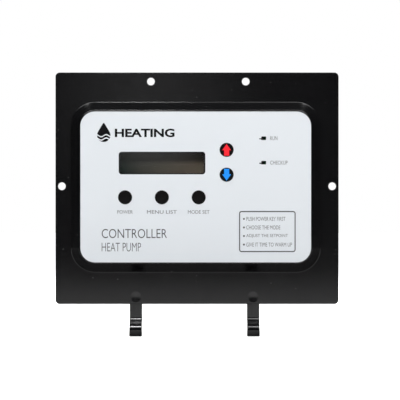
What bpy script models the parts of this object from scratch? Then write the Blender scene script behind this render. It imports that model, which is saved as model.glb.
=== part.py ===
"""Control panel of a pool heat pump: bezel, overlay, display, keys and control board.

Run it with: blender --background --python part.py, or from Blender's text editor.
Lengths are in metres. +X is the panel's right side, +Z is up and +Y points into the cabinet.
The origin is the centre of the flange's rear face, which rests on the cabinet.
"""

import math

import bmesh
import bpy
from mathutils import Matrix, Vector

MM = 0.001

# Clearances
GAP = 0.3 * MM             # air between two pieces that rest on each other or fit together
SLIDE_GAP = 0.3 * MM       # air around a key or a stem that slides
HEAD_GAP = 0.3 * MM        # air under a screw's head

# How far a cutter runs past what it opens, and how deep a joined piece is sunk into its neighbour
OVERRUN = 1.0 * MM
SUNK = 0.5 * MM
SMALL_EDGE = 0.2 * MM      # broken edge of the smallest pieces
MERGE = 0.001 * MM         # points nearer than this become one
TURN_MERGE = 0.005 * MM    # the same for a turned shape's points on its axis

# Bezel
PLATE_W = 220 * MM
PLATE_H = 180 * MM
PLATE_CORNER_R = 3.2 * MM
FLANGE_T = 3.0 * MM
FLANGE_SIDE = 13.1 * MM    # flange beside the platform's foot
FLANGE_END = 24.0 * MM     # flange above and below the platform's foot
CENTRE_X = -1.0 * MM       # the platform's centre, seen from the plate's centre
CENTRE_Z = 1.0 * MM
PLATFORM_RISE = 6.5 * MM
PLATFORM_CORNER_R = 16.7 * MM
FOOT_RUN = 1.4 * MM        # how far the platform's foot flares out over the flange
FOOT_RISE = 1.2 * MM
RIM_EDGE_RUN = 0.5 * MM    # the lip's broken outer edge
RIM_EDGE_RISE = 0.6 * MM
SLOPE_RUN = 5.5 * MM       # how far the platform's sides lean in
RIM_W = 1.8 * MM           # flat lip around the overlay's recess
RECESS_DEPTH = 1.1 * MM
RECESS_CORNER_EASE = 0.4 * MM   # the recess's corners are this much rounder than the lip's
DECK_T = 3.0 * MM
WALL_RUN = 3.7 * MM        # the sloped wall's thickness, measured level

# Holes for the cabinet's screws
SCREW_HOLE_D = 6.0 * MM
TOP_HOLE_SPACING = 73.7 * MM
TOP_HOLE_EDGE = 7.0 * MM
SIDE_HOLE_EDGE = 4.95 * MM
TOP_HOLES_X = 1.0 * MM
SIDE_HOLES_Z = 1.6 * MM

# Hooks under the flange
HOOK_W = 9.7 * MM
HOOK_T = 2.6 * MM
HOOK_X = (-47.5 * MM, 43.6 * MM)
HOOK_ROOT = 5.0 * MM       # how far each arm is buried in the flange
HOOK_ARM = 10.4 * MM
HOOK_S_HEIGHT = 9.3 * MM
HOOK_LIP = 4.9 * MM
HOOK_STEP = 8.0 * MM       # how far forward the lip stands

# Overlay, display window and indicator windows
OVERLAY_T = 0.5 * MM
WINDOW_W = 67.0 * MM
WINDOW_H = 17.5 * MM
WINDOW_CORNER_R = 2.3 * MM
WINDOW_X = -27.1 * MM
WINDOW_Z = 19.5 * MM
LENS_T = 1.2 * MM
LENS_LAP = 1.2 * MM        # how far the lens runs behind the overlay
INDICATOR_W = 5.4 * MM
INDICATOR_H = 2.7 * MM
INDICATOR_CORNER_R = 0.7 * MM
INDICATOR_X = 50.8 * MM
INDICATOR_Z = (38.7 * MM, 19.8 * MM)
INDICATOR_T = 0.8 * MM

# Keys
KEY_D = 10.3 * MM
KEY_PROUD = 0.4 * MM       # how far a key stands out of the overlay
KEY_FLANGE_LAP = 1.6 * MM
KEY_FLANGE_T = 1.2 * MM
PLUNGER_D = 4.2 * MM
KEY_CROWN = 0.15 * MM      # how far the key's face falls towards its edge
KEY_EDGE = 0.35 * MM
KEY_PITCH = 28.5 * MM
KEY_ROW_X = -27.2 * MM     # middle key of the row
KEY_ROW_DROP = 17.8 * MM   # from the window's lower edge
ARROW_COLUMN = 16.5 * MM   # from the window's right edge
ARROW_PITCH = 19.2 * MM
ARROW_RISE = 0.6 * MM      # the arrow pair's middle above the window's middle
KEY_ROW_NAMES = ("power", "menu", "mode")
ARROW_NAMES = ("up", "down")

# Display module
LCD_FRAME_MARGIN_W = 4.3 * MM   # the stamped frame is this much wider than the window
LCD_FRAME_MARGIN_H = 9.3 * MM
LCD_VIEW_INSET = 1.2 * MM  # the frame's opening is this much inside the window
LCD_SHEET_T = 0.4 * MM
LCD_GLASS_T = 2.2 * MM
LCD_LIGHT_T = 2.0 * MM
LCD_BOARD_MARGIN_W = 8.7 * MM
LCD_BOARD_MARGIN_H = 9.2 * MM
LCD_BOARD_T = 1.6 * MM
LCD_HOLE_INSET = 2.5 * MM
LCD_BOSS_R = 2.4 * MM
LCD_VIEW_CORNER_R = 1.0 * MM
LCD_BOARD_CORNER_R = 1.0 * MM
LCD_HEADER_WAYS = 16

# Control board
BOARD_T = 1.6 * MM
BOARD_Y = 9.0 * MM         # its front face, behind the flange's rear face
BOARD_INSET_W = 12.9 * MM  # board's edge inside the platform's foot
BOARD_INSET_H = 13.0 * MM
BOARD_HOLE_INSET = 5.0 * MM
BOARD_BOSS_R = 3.5 * MM
BOARD_CORNER_R = 2.0 * MM

# Screws of the two boards
BOARD_SCREW_R = 1.4 * MM
BOARD_SCREW_LENGTH = 8.0 * MM
LCD_SCREW_R = 1.0 * MM
LCD_SCREW_LENGTH = 5.0 * MM
SCREW_POINT = 0.4 * MM
PILOT_GAP = 0.3 * MM
BOARD_HOLE_GAP = 0.4 * MM

# Push switches
SWITCH_SIDE = 6.0 * MM
SWITCH_H = 3.5 * MM
STEM_D = 3.4 * MM
STEM_POCKET = 2.6 * MM
STEM_PROUD = 4.0 * MM      # how far a stem stands out of its switch
STEM_EDGE = 0.3 * MM
SWITCH_EDGE = 0.3 * MM
KEY_TRAVEL = 0.8 * MM
STEM_OVERRUN = 0.4 * MM    # left under the stem when a key is fully pressed

# Indicator LEDs
LED_R = 1.5 * MM
LED_H = 4.6 * MM
LED_FLANGE = 0.4 * MM      # the collar at the LED's foot stands out this much
LED_FLANGE_H = 1.0 * MM
LED_SHIFT = -1.5 * MM      # the LED stands left of its window's middle
LED_SPACER_R = 2.5 * MM

# Parts on the board's rear face, placed from its edges or from its centre
RELAY_SIZE = (19.0 * MM, 15.0 * MM, 15.4 * MM)
RELAY_COUNT = 3
RELAY_EDGE = 0.6 * MM
RELAY_PITCH = 23.0 * MM
RELAY_FROM_LEFT = 20.0 * MM
RELAY_FROM_TOP = 23.0 * MM
CAPACITOR_R = 5.0 * MM
CAPACITOR_H = 16.0 * MM
CAPACITOR_EDGE = 0.7 * MM
CAPACITOR_GROOVE_RISE = 2.2 * MM
CAPACITOR_GROOVE_HALF = 0.9 * MM
CAPACITOR_GROOVE_DEPTH = 0.6 * MM
CAPACITOR_X = (-8.0 * MM, 4.5 * MM)
CAPACITOR_Z = 0.0 * MM
SINK_W = 26.0 * MM
SINK_D = 12.0 * MM
SINK_H = 20.0 * MM
SINK_FINS = 6
SINK_WEB = 2.0 * MM
SINK_FIN_T = 1.4 * MM
SINK_FROM_RIGHT = 36.0 * MM
SINK_FROM_TOP = 17.0 * MM
REGULATOR_W = 10.0 * MM
REGULATOR_BODY_D = 4.4 * MM
REGULATOR_BODY_H = 9.2 * MM
REGULATOR_TAB_T = 1.3 * MM
REGULATOR_TAB_H = 15.5 * MM
REGULATOR_RISE = 2.0 * MM
CHIP_SIZE = (14.0 * MM, 1.6 * MM, 14.0 * MM)
CHIP_EDGE = 0.25 * MM
CHIP_X = 20.0 * MM
CHIP_Z = -6.0 * MM
FUSE_R = 2.3 * MM
FUSE_LENGTH = 19.0 * MM
FUSE_CAP_LENGTH = 5.0 * MM
FUSE_CAP_T = 0.5 * MM
FUSE_FROM_LEFT = 34.0 * MM
FUSE_Z = -10.0 * MM
FUSE_RISE = 5.5 * MM       # the fuse's axis above the board
CLIP_T = 0.6 * MM
CLIP_W = 3.6 * MM
CLIP_WRAP = 130            # degrees that a clip reaches up on each side
CLIP_STEPS = 10
CLIP_FOOT = 1.6 * MM
CLIP_FOOT_INSET = 0.1 * MM
TERMINAL_WAYS = 4
TERMINAL_PITCH = 7.5 * MM
TERMINAL_D = 13.0 * MM
TERMINAL_H = 11.0 * MM
TERMINAL_FROM_LEFT = 34.0 * MM
TERMINAL_FROM_BOTTOM = 13.0 * MM
TERMINAL_EDGE = 0.4 * MM
TERMINAL_WELL_R = 2.3 * MM
TERMINAL_WELL_DEPTH = 5.0 * MM
TERMINAL_ENTRY_R = 1.6 * MM
TERMINAL_ENTRY_DROP = 2.5 * MM  # the wire entries' axes below the block's middle, towards the board
TERMINAL_SCREW_H = 1.6 * MM
SLOT_W = 0.6 * MM
SLOT_DEPTH = 0.6 * MM
CONNECTOR_WAYS = 6
CONNECTOR_PITCH = 2.54 * MM
CONNECTOR_D = 8.0 * MM
CONNECTOR_H = 6.4 * MM
CONNECTOR_WALL = 0.9 * MM
CONNECTOR_FLOOR = 2.0 * MM
PIN_SIDE = 0.64 * MM
PIN_LENGTH = 5.5 * MM
PIN_ROOT = 0.55 * MM       # how far a pin is sunk into the connector's floor
CONNECTOR_X = 20.0 * MM
CONNECTOR_FROM_BOTTOM = 11.0 * MM
TRIMMER_SIDE = 9.5 * MM
TRIMMER_D = 5.0 * MM
TRIMMER_EDGE = 0.4 * MM
TRIMMER_FROM_RIGHT = 26.0 * MM
TRIMMER_Z = -8.0 * MM
ROTOR_R = 3.2 * MM
ROTOR_T = 1.6 * MM
ROTOR_SINK = 1.1 * MM
ROTOR_SLOT_W = 0.8 * MM
ROTOR_SLOT_DEPTH = 0.45 * MM

# Fineness of round shapes
CORNER_STEPS = 8           # on corners wider than SMALL_CORNER_R, and half as many on smaller ones
SMALL_CORNER_R = 4.0 * MM
ROUND_STEPS = 20
SMALL_STEPS = 12

# Levels along Y, from the front to the rear
FLANGE_FRONT = -FLANGE_T
RIM_FRONT = FLANGE_FRONT - PLATFORM_RISE
DECK_FRONT = RIM_FRONT + RECESS_DEPTH
DECK_REAR = DECK_FRONT + DECK_T
OVERLAY_REAR = DECK_FRONT - GAP
OVERLAY_FRONT = OVERLAY_REAR - OVERLAY_T
LENS_FRONT = DECK_FRONT + GAP
KEY_FRONT = OVERLAY_FRONT - KEY_PROUD
KEY_FLANGE_FRONT = DECK_REAR + GAP
LCD_FRONT = DECK_REAR + GAP
LCD_GLASS_FRONT = LCD_FRONT + LCD_SHEET_T + GAP
LCD_LIGHT_FRONT = LCD_GLASS_FRONT + LCD_GLASS_T + GAP
LCD_BOARD_FRONT = LCD_LIGHT_FRONT + LCD_LIGHT_T + GAP
LCD_BOARD_REAR = LCD_BOARD_FRONT + LCD_BOARD_T
BOARD_REAR = BOARD_Y + BOARD_T
PARTS_Y = BOARD_REAR + GAP         # where the parts on the board's rear face begin
SWITCH_FRONT = BOARD_Y - GAP - SWITCH_H
STEM_REAR = SWITCH_FRONT + STEM_POCKET - KEY_TRAVEL - STEM_OVERRUN
STEM_FRONT = SWITCH_FRONT - STEM_PROUD
PLUNGER_REAR = STEM_FRONT - GAP

# Outlines that follow from the plate's size
PLATFORM_W = PLATE_W - 2 * FLANGE_SIDE
PLATFORM_H = PLATE_H - 2 * FLANGE_END
RIM_OUTER_W = PLATFORM_W - 2 * SLOPE_RUN
RIM_OUTER_H = PLATFORM_H - 2 * SLOPE_RUN
RECESS_W = RIM_OUTER_W - 2 * RIM_W
RECESS_H = RIM_OUTER_H - 2 * RIM_W
RECESS_CORNER_R = PLATFORM_CORNER_R - SLOPE_RUN + RECESS_CORNER_EASE
OVERLAY_W = RECESS_W - 2 * GAP
OVERLAY_H = RECESS_H - 2 * GAP
BOARD_W = PLATFORM_W - 2 * BOARD_INSET_W
BOARD_H = PLATFORM_H - 2 * BOARD_INSET_H
LCD_FRAME_W = WINDOW_W + LCD_FRAME_MARGIN_W
LCD_FRAME_H = WINDOW_H + LCD_FRAME_MARGIN_H
LCD_BOARD_W = LCD_FRAME_W + LCD_BOARD_MARGIN_W
LCD_BOARD_H = LCD_FRAME_H + LCD_BOARD_MARGIN_H
ARROW_X = WINDOW_X + WINDOW_W / 2 + ARROW_COLUMN
KEY_ROW_Z = WINDOW_Z - WINDOW_H / 2 - KEY_ROW_DROP

KEY_PLACES = {name: (KEY_ROW_X + (index - 1) * KEY_PITCH, KEY_ROW_Z)
              for index, name in enumerate(KEY_ROW_NAMES)}
KEY_PLACES.update({name: (ARROW_X, WINDOW_Z + ARROW_RISE + (0.5 - index) * ARROW_PITCH)
                   for index, name in enumerate(ARROW_NAMES)})

# Turns that stand an outline up: seen from the front, from the side, and from the side with its height
# along the board's normal
SEEN_FRONT = Matrix(((1, 0, 0), (0, 0, -1), (0, 1, 0))).to_4x4()
SEEN_SIDE = Matrix(((0, 0, 1), (1, 0, 0), (0, 1, 0))).to_4x4()
SEEN_SIDE_FROM_BOARD = Matrix(((0, 0, 1), (0, 1, 0), (-1, 0, 0))).to_4x4()
FACING_FRONT = Matrix.Rotation(math.radians(90), 4, "X")
FACING_REAR = Matrix.Rotation(math.radians(-90), 4, "X")


# ---------------------------------------------------------------- scene and materials

def clear_scene():
    for obj in list(bpy.data.objects):
        bpy.data.objects.remove(obj, do_unlink=True)


def new_collection(name):
    collection = bpy.data.collections.new(name)
    bpy.context.scene.collection.children.link(collection)
    return collection


def material(name, colour, roughness, metallic=0.0, transmission=0.0):
    made = bpy.data.materials.new(name)
    made.use_nodes = True
    shader = made.node_tree.nodes["Principled BSDF"]
    shader.inputs["Base Color"].default_value = (*colour, 1.0)
    shader.inputs["Roughness"].default_value = roughness
    shader.inputs["Metallic"].default_value = metallic
    shader.inputs["Transmission Weight"].default_value = transmission
    made.diffuse_color = (*colour, 1.0)
    return made


clear_scene()
PARTS = new_collection("heat_pump_control_panel")
CUTTERS = new_collection("cutters")

BLACK_GLOSS = material("black_gloss_abs", (0.012, 0.012, 0.013), 0.22)
BLACK_MATTE = material("black_matte_plastic", (0.015, 0.015, 0.015), 0.5)
PRINTED_SHEET = material("printed_sheet", (0.79, 0.82, 0.85), 0.45)
CLEAR_ACRYLIC = material("clear_acrylic", (0.9, 0.92, 0.93), 0.08, transmission=0.9)
LCD_GLASS = material("lcd_glass", (0.05, 0.055, 0.045), 0.15)
LCD_LIGHT = material("lcd_light_guide", (0.82, 0.85, 0.8), 0.4)
BLACK_STEEL = material("black_stamped_steel", (0.03, 0.03, 0.03), 0.4, 0.6)
GREEN_BOARD = material("green_circuit_board", (0.02, 0.13, 0.06), 0.4)
ZINC_STEEL = material("zinc_plated_steel", (0.62, 0.63, 0.62), 0.32, 1.0)
SWITCH_PLASTIC = material("switch_plastic", (0.02, 0.02, 0.02), 0.45)
RED_KEY = material("key_with_red_arrow", (0.9, 0.02, 0.03), 0.5)
BLUE_KEY = material("key_with_blue_arrow", (0.02, 0.28, 0.9), 0.5)
LED_EPOXY = material("led_epoxy", (0.88, 0.8, 0.8), 0.1, transmission=0.6)
RELAY_BLUE = material("relay_case", (0.02, 0.13, 0.42), 0.4)
CAPACITOR_SLEEVE = material("capacitor_sleeve", (0.03, 0.03, 0.06), 0.35)
CHIP_EPOXY = material("chip_epoxy", (0.02, 0.02, 0.02), 0.6)
SINK_ALUMINIUM = material("anodised_aluminium", (0.05, 0.05, 0.055), 0.4, 0.8)
FUSE_GLASS = material("fuse_glass", (0.9, 0.93, 0.92), 0.05, transmission=0.9)
NICKEL = material("nickel_plate", (0.7, 0.69, 0.66), 0.25, 1.0)
TERMINAL_GREEN = material("terminal_plastic", (0.03, 0.32, 0.12), 0.45)
WHITE_NYLON = material("white_nylon", (0.8, 0.79, 0.74), 0.5)
TRIMMER_BLUE = material("trimmer_case", (0.03, 0.16, 0.5), 0.4)


# ---------------------------------------------------------------- shapes

def finish(mesh, name, finish_material, place=None, collection=PARTS):
    """Put a mesh into the scene as an object named for the piece."""
    mesh.name = name
    mesh.materials.clear()
    mesh.materials.append(finish_material)
    obj = bpy.data.objects.new(name, mesh)
    if place is not None:
        obj.matrix_world = place
    collection.objects.link(obj)
    if collection is CUTTERS:
        obj.hide_render = True
        obj.display_type = "WIRE"
    return obj


def corner_points(width, height, radius, steps=CORNER_STEPS):
    """A rectangle with round corners, centred on its own origin, anticlockwise."""
    points = []
    for corner, (side_x, side_y) in enumerate(((1, 1), (-1, 1), (-1, -1), (1, -1))):
        for step in range(steps + 1):
            angle = math.radians(90 * (corner + step / steps))
            points.append((side_x * (width / 2 - radius) + radius * math.cos(angle),
                           side_y * (height / 2 - radius) + radius * math.sin(angle)))
    return points


def ribbon_points(path, thickness):
    """A band of even thickness along a path: one side out, the other side back."""
    left, right = [], []
    for index, point in enumerate(path):
        before = Vector(path[max(index - 1, 0)])
        after = Vector(path[min(index + 1, len(path) - 1)])
        along = (after - before).normalized()
        side = Vector((-along.y, along.x)) * thickness / 2
        left.append(tuple(Vector(point) + side))
        right.append(tuple(Vector(point) - side))
    return left + right[::-1]


def extruded(name, points, thickness, finish_material, place, collection=PARTS):
    """A flat outline given a thickness, half of it on each side of the outline's plane."""
    curve = bpy.data.curves.new(name, "CURVE")
    curve.dimensions = "2D"
    curve.fill_mode = "BOTH"
    curve.extrude = thickness / 2
    spline = curve.splines.new("POLY")
    spline.points.add(len(points) - 1)
    for spot, (x, y) in zip(spline.points, points):
        spot.co = (x, y, 0, 1)
    spline.use_cyclic_u = True
    drawn = bpy.data.objects.new(name + "_outline", curve)
    CUTTERS.objects.link(drawn)
    bpy.context.view_layer.update()
    mesh = bpy.data.meshes.new_from_object(drawn.evaluated_get(bpy.context.evaluated_depsgraph_get()))
    bpy.data.objects.remove(drawn, do_unlink=True)
    work = bmesh.new()
    work.from_mesh(mesh)
    bmesh.ops.remove_doubles(work, verts=work.verts, dist=MERGE)
    bmesh.ops.recalc_face_normals(work, faces=work.faces)
    work.to_mesh(mesh)
    work.free()
    return finish(mesh, name, finish_material, place, collection)


def sheet(name, size, radius, y_front, y_rear, finish_material, centre, collection=PARTS):
    """A flat piece with round corners that faces the front, between two levels."""
    place = Matrix.Translation((centre[0], (y_front + y_rear) / 2, centre[1])) @ SEEN_FRONT
    steps = CORNER_STEPS if radius > SMALL_CORNER_R else CORNER_STEPS // 2
    points = corner_points(size[0], size[1], radius, steps)
    return extruded(name, points, y_rear - y_front, finish_material, place, collection)


def block(name, size, centre, finish_material, bevel=0.0, collection=PARTS):
    """A box, with its edges broken when a bevel is given."""
    work = bmesh.new()
    bmesh.ops.create_cube(work, size=1.0, matrix=Matrix.Diagonal((*size, 1.0)))
    mesh = bpy.data.meshes.new(name)
    work.to_mesh(mesh)
    work.free()
    obj = finish(mesh, name, finish_material, Matrix.Translation(centre), collection)
    if bevel:
        edge = obj.modifiers.new("edges", "BEVEL")
        edge.width = bevel
        edge.segments = 1
    return obj


def rod(name, radius, y_front, y_rear, centre, finish_material, collection=PARTS, steps=ROUND_STEPS):
    """A round bar along Y."""
    work = bmesh.new()
    bmesh.ops.create_cone(work, cap_ends=True, segments=steps, radius1=radius, radius2=radius,
                          depth=y_rear - y_front)
    mesh = bpy.data.meshes.new(name)
    work.to_mesh(mesh)
    work.free()
    place = Matrix.Translation((centre[0], (y_front + y_rear) / 2, centre[1])) @ FACING_FRONT
    return finish(mesh, name, finish_material, place, collection)


def turned_mesh(name, profile, steps):
    """Turn a profile of (radius, height) points, from its top on the axis to its bottom, into a mesh."""
    mesh = bpy.data.meshes.new(name)
    mesh.from_pydata([(radius, 0, height) for radius, height in profile],
                     [(index, index + 1) for index in range(len(profile) - 1)], [])
    drawn = bpy.data.objects.new(name + "_profile", mesh)
    CUTTERS.objects.link(drawn)
    turn = drawn.modifiers.new("turn", "SCREW")
    turn.steps = turn.render_steps = steps
    turn.use_merge_vertices = True
    turn.merge_threshold = TURN_MERGE
    turn.use_normal_calculate = True
    bpy.context.view_layer.update()
    solid = bpy.data.meshes.new_from_object(drawn.evaluated_get(bpy.context.evaluated_depsgraph_get()))
    bpy.data.objects.remove(drawn, do_unlink=True)
    work = bmesh.new()
    work.from_mesh(solid)
    bmesh.ops.remove_doubles(work, verts=work.verts, dist=MERGE)
    bmesh.ops.recalc_face_normals(work, faces=work.faces)
    work.to_mesh(solid)
    work.free()
    solid.shade_smooth()
    solid.set_sharp_from_angle(angle=math.radians(35))
    return solid


def turned(name, profile, steps, finish_material, place):
    return finish(turned_mesh(name, profile, steps), name, finish_material, place)


def stacked(name, rings, finish_material, centre, collection):
    """A loft through round-cornered rectangles, each (inset, level), from the rear one to the front one."""
    work = bmesh.new()
    loops = []
    for inset, level in rings:
        points = corner_points(PLATFORM_W - 2 * inset, PLATFORM_H - 2 * inset, PLATFORM_CORNER_R - inset)
        loops.append([work.verts.new((centre[0] + x, level, centre[1] + z)) for x, z in points])
    work.faces.new(loops[0])
    work.faces.new(loops[-1])
    for lower, upper in zip(loops, loops[1:]):
        for index in range(len(lower)):
            after = (index + 1) % len(lower)
            work.faces.new((lower[index], lower[after], upper[after], upper[index]))
    bmesh.ops.recalc_face_normals(work, faces=work.faces)
    mesh = bpy.data.meshes.new(name)
    work.to_mesh(mesh)
    work.free()
    return finish(mesh, name, finish_material, None, collection)


def combine(obj, operation, others):
    """Join the others to an object, or cut them out of it, one Boolean each."""
    for other in others:
        step = obj.modifiers.new(other.name, "BOOLEAN")
        step.operation = operation
        step.object = other


# ---------------------------------------------------------------- bezel

def slope_inset(level):
    """How far the platform's sloped side has leaned in at a level in front of the flange."""
    return SLOPE_RUN * (FLANGE_FRONT - level) / PLATFORM_RISE


def hook_outline():
    """Side view of a hook: a straight arm, a smooth S that steps forward, and a straight lip."""
    rest = -FLANGE_T / 2
    path = [(rest, -PLATE_H / 2 + HOOK_ROOT)]
    for step in range(CORNER_STEPS + 1):
        part = step / CORNER_STEPS
        path.append((rest - HOOK_STEP * (1 - math.cos(math.pi * part)) / 2,
                     -PLATE_H / 2 - HOOK_ARM - HOOK_S_HEIGHT * part))
    for part in (0.1, 1.0):
        path.append((rest - HOOK_STEP, -PLATE_H / 2 - HOOK_ARM - HOOK_S_HEIGHT - HOOK_LIP * part))
    return ribbon_points(path, HOOK_T)


def board_hole_places():
    return [(CENTRE_X + side_x * (BOARD_W / 2 - BOARD_HOLE_INSET),
             CENTRE_Z + side_z * (BOARD_H / 2 - BOARD_HOLE_INSET))
            for side_x in (-1, 1) for side_z in (-1, 1)]


def lcd_hole_places():
    return [(WINDOW_X + side_x * (LCD_BOARD_W / 2 - LCD_HOLE_INSET),
             WINDOW_Z + side_z * (LCD_BOARD_H / 2 - LCD_HOLE_INSET))
            for side_x in (-1, 1) for side_z in (-1, 1)]


def cabinet_hole_places():
    top = PLATE_H / 2 - TOP_HOLE_EDGE
    side = PLATE_W / 2 - SIDE_HOLE_EDGE
    return [(TOP_HOLES_X - TOP_HOLE_SPACING / 2, top), (TOP_HOLES_X + TOP_HOLE_SPACING / 2, top),
            (-side, SIDE_HOLES_Z), (side, SIDE_HOLES_Z)]


def make_bezel():
    centre = (CENTRE_X, CENTRE_Z)
    bezel = sheet("bezel", (PLATE_W, PLATE_H), PLATE_CORNER_R, FLANGE_FRONT, 0, BLACK_GLOSS, (0, 0))

    foot = FLANGE_FRONT - FOOT_RISE
    platform = stacked("add_platform", [
        (-FOOT_RUN, FLANGE_FRONT + SUNK),
        (slope_inset(foot), foot),
        (SLOPE_RUN - RIM_EDGE_RUN, RIM_FRONT + RIM_EDGE_RISE),
        (SLOPE_RUN, RIM_FRONT),
    ], BLACK_GLOSS, centre, CUTTERS)
    pan = stacked("cut_pan", [
        (slope_inset(OVERRUN) + WALL_RUN, OVERRUN),
        (slope_inset(DECK_REAR) + WALL_RUN, DECK_REAR),
    ], BLACK_GLOSS, centre, CUTTERS)
    recess = sheet("cut_recess", (RECESS_W, RECESS_H), RECESS_CORNER_R,
                   RIM_FRONT - OVERRUN, DECK_FRONT, BLACK_GLOSS, centre, CUTTERS)
    hooks = [extruded(f"add_hook_{number}", hook_outline(), HOOK_W, BLACK_GLOSS,
                      Matrix.Translation((x, 0, 0)) @ SEEN_SIDE, CUTTERS)
             for number, x in enumerate(HOOK_X, 1)]

    cuts = [sheet("cut_lens_seat", (WINDOW_W + 2 * (LENS_LAP + GAP), WINDOW_H + 2 * (LENS_LAP + GAP)),
                  WINDOW_CORNER_R + LENS_LAP, DECK_FRONT - OVERRUN, LENS_FRONT + LENS_T + GAP,
                  BLACK_GLOSS, (WINDOW_X, WINDOW_Z), CUTTERS),
            sheet("cut_window", (WINDOW_W, WINDOW_H), WINDOW_CORNER_R, DECK_FRONT - OVERRUN,
                  DECK_REAR + OVERRUN, BLACK_GLOSS, (WINDOW_X, WINDOW_Z), CUTTERS)]
    for number, z in enumerate(INDICATOR_Z, 1):
        cuts.append(sheet(f"cut_indicator_{number}", (INDICATOR_W + 2 * GAP, INDICATOR_H + 2 * GAP),
                          INDICATOR_CORNER_R + GAP, DECK_FRONT - OVERRUN, DECK_REAR + OVERRUN,
                          BLACK_GLOSS, (INDICATOR_X, z), CUTTERS))
    for name, place in KEY_PLACES.items():
        cuts.append(rod(f"cut_key_{name}", KEY_D / 2 + SLIDE_GAP, DECK_FRONT - OVERRUN,
                        DECK_REAR + OVERRUN, place, BLACK_GLOSS, CUTTERS))
    for number, place in enumerate(cabinet_hole_places(), 1):
        cuts.append(rod(f"cut_cabinet_hole_{number}", SCREW_HOLE_D / 2, FLANGE_FRONT - OVERRUN,
                        OVERRUN, place, BLACK_GLOSS, CUTTERS))

    boss_root = DECK_REAR - SUNK
    bosses, pilots = [], []
    for number, place in enumerate(board_hole_places(), 1):
        bosses.append(rod(f"add_board_boss_{number}", BOARD_BOSS_R, boss_root, BOARD_Y - GAP, place,
                          BLACK_GLOSS, CUTTERS, SMALL_STEPS))
        pilots.append(rod(f"cut_board_pilot_{number}", BOARD_SCREW_R + PILOT_GAP,
                          BOARD_Y - BOARD_SCREW_LENGTH, BOARD_Y, place, BLACK_GLOSS, CUTTERS, SMALL_STEPS))
    for number, place in enumerate(lcd_hole_places(), 1):
        bosses.append(rod(f"add_lcd_boss_{number}", LCD_BOSS_R, boss_root, LCD_BOARD_FRONT - GAP, place,
                          BLACK_GLOSS, CUTTERS, SMALL_STEPS))
        pilots.append(rod(f"cut_lcd_pilot_{number}", LCD_SCREW_R + PILOT_GAP,
                          LCD_BOARD_REAR - LCD_SCREW_LENGTH, LCD_BOARD_FRONT, place, BLACK_GLOSS,
                          CUTTERS, SMALL_STEPS))

    combine(bezel, "UNION", [platform] + hooks)
    combine(bezel, "DIFFERENCE", [pan, recess] + cuts)
    combine(bezel, "UNION", bosses)
    combine(bezel, "DIFFERENCE", pilots)


# ---------------------------------------------------------------- front pieces

def make_overlay():
    overlay = sheet("graphic_overlay", (OVERLAY_W, OVERLAY_H), RECESS_CORNER_R - GAP,
                    OVERLAY_FRONT, OVERLAY_REAR, PRINTED_SHEET, (CENTRE_X, CENTRE_Z))
    front, rear = OVERLAY_FRONT - OVERRUN, OVERLAY_REAR + OVERRUN
    cuts = [sheet("open_window", (WINDOW_W, WINDOW_H), WINDOW_CORNER_R, front, rear, PRINTED_SHEET,
                  (WINDOW_X, WINDOW_Z), CUTTERS)]
    for number, z in enumerate(INDICATOR_Z, 1):
        cuts.append(sheet(f"open_indicator_{number}", (INDICATOR_W, INDICATOR_H), INDICATOR_CORNER_R,
                          front, rear, PRINTED_SHEET, (INDICATOR_X, z), CUTTERS))
    for name, place in KEY_PLACES.items():
        cuts.append(rod(f"open_key_{name}", KEY_D / 2 + SLIDE_GAP, front, rear, place,
                        PRINTED_SHEET, CUTTERS))
    combine(overlay, "DIFFERENCE", cuts)


def make_windows():
    sheet("display_window", (WINDOW_W + 2 * LENS_LAP, WINDOW_H + 2 * LENS_LAP),
          WINDOW_CORNER_R + LENS_LAP - GAP, LENS_FRONT, LENS_FRONT + LENS_T, CLEAR_ACRYLIC,
          (WINDOW_X, WINDOW_Z))
    for name, z in zip(("on", "service"), INDICATOR_Z):
        sheet(f"indicator_window_{name}", (INDICATOR_W, INDICATOR_H), INDICATOR_CORNER_R,
              LENS_FRONT, LENS_FRONT + INDICATOR_T, CLEAR_ACRYLIC, (INDICATOR_X, z))


def make_keys():
    """Each key is turned: a crowned cap, a flange that stays behind the deck, and a plunger."""
    radius = KEY_D / 2
    flange_r = radius + KEY_FLANGE_LAP
    profile = [
        (0, 0), (radius * 0.6, -KEY_CROWN / 3), (radius - KEY_EDGE, -KEY_CROWN),
        (radius, -KEY_CROWN - KEY_EDGE),
        (radius, KEY_FRONT - KEY_FLANGE_FRONT), (flange_r, KEY_FRONT - KEY_FLANGE_FRONT),
        (flange_r, KEY_FRONT - KEY_FLANGE_FRONT - KEY_FLANGE_T),
        (PLUNGER_D / 2, KEY_FRONT - KEY_FLANGE_FRONT - KEY_FLANGE_T),
        (PLUNGER_D / 2, KEY_FRONT - PLUNGER_REAR), (0, KEY_FRONT - PLUNGER_REAR),
    ]
    finishes = {"up": RED_KEY, "down": BLUE_KEY}
    for name, (x, z) in KEY_PLACES.items():
        place = Matrix.Translation((x, KEY_FRONT, z)) @ FACING_FRONT
        turned(f"key_{name}", profile, ROUND_STEPS, finishes.get(name, BLACK_MATTE), place)


# ---------------------------------------------------------------- display module

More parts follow.
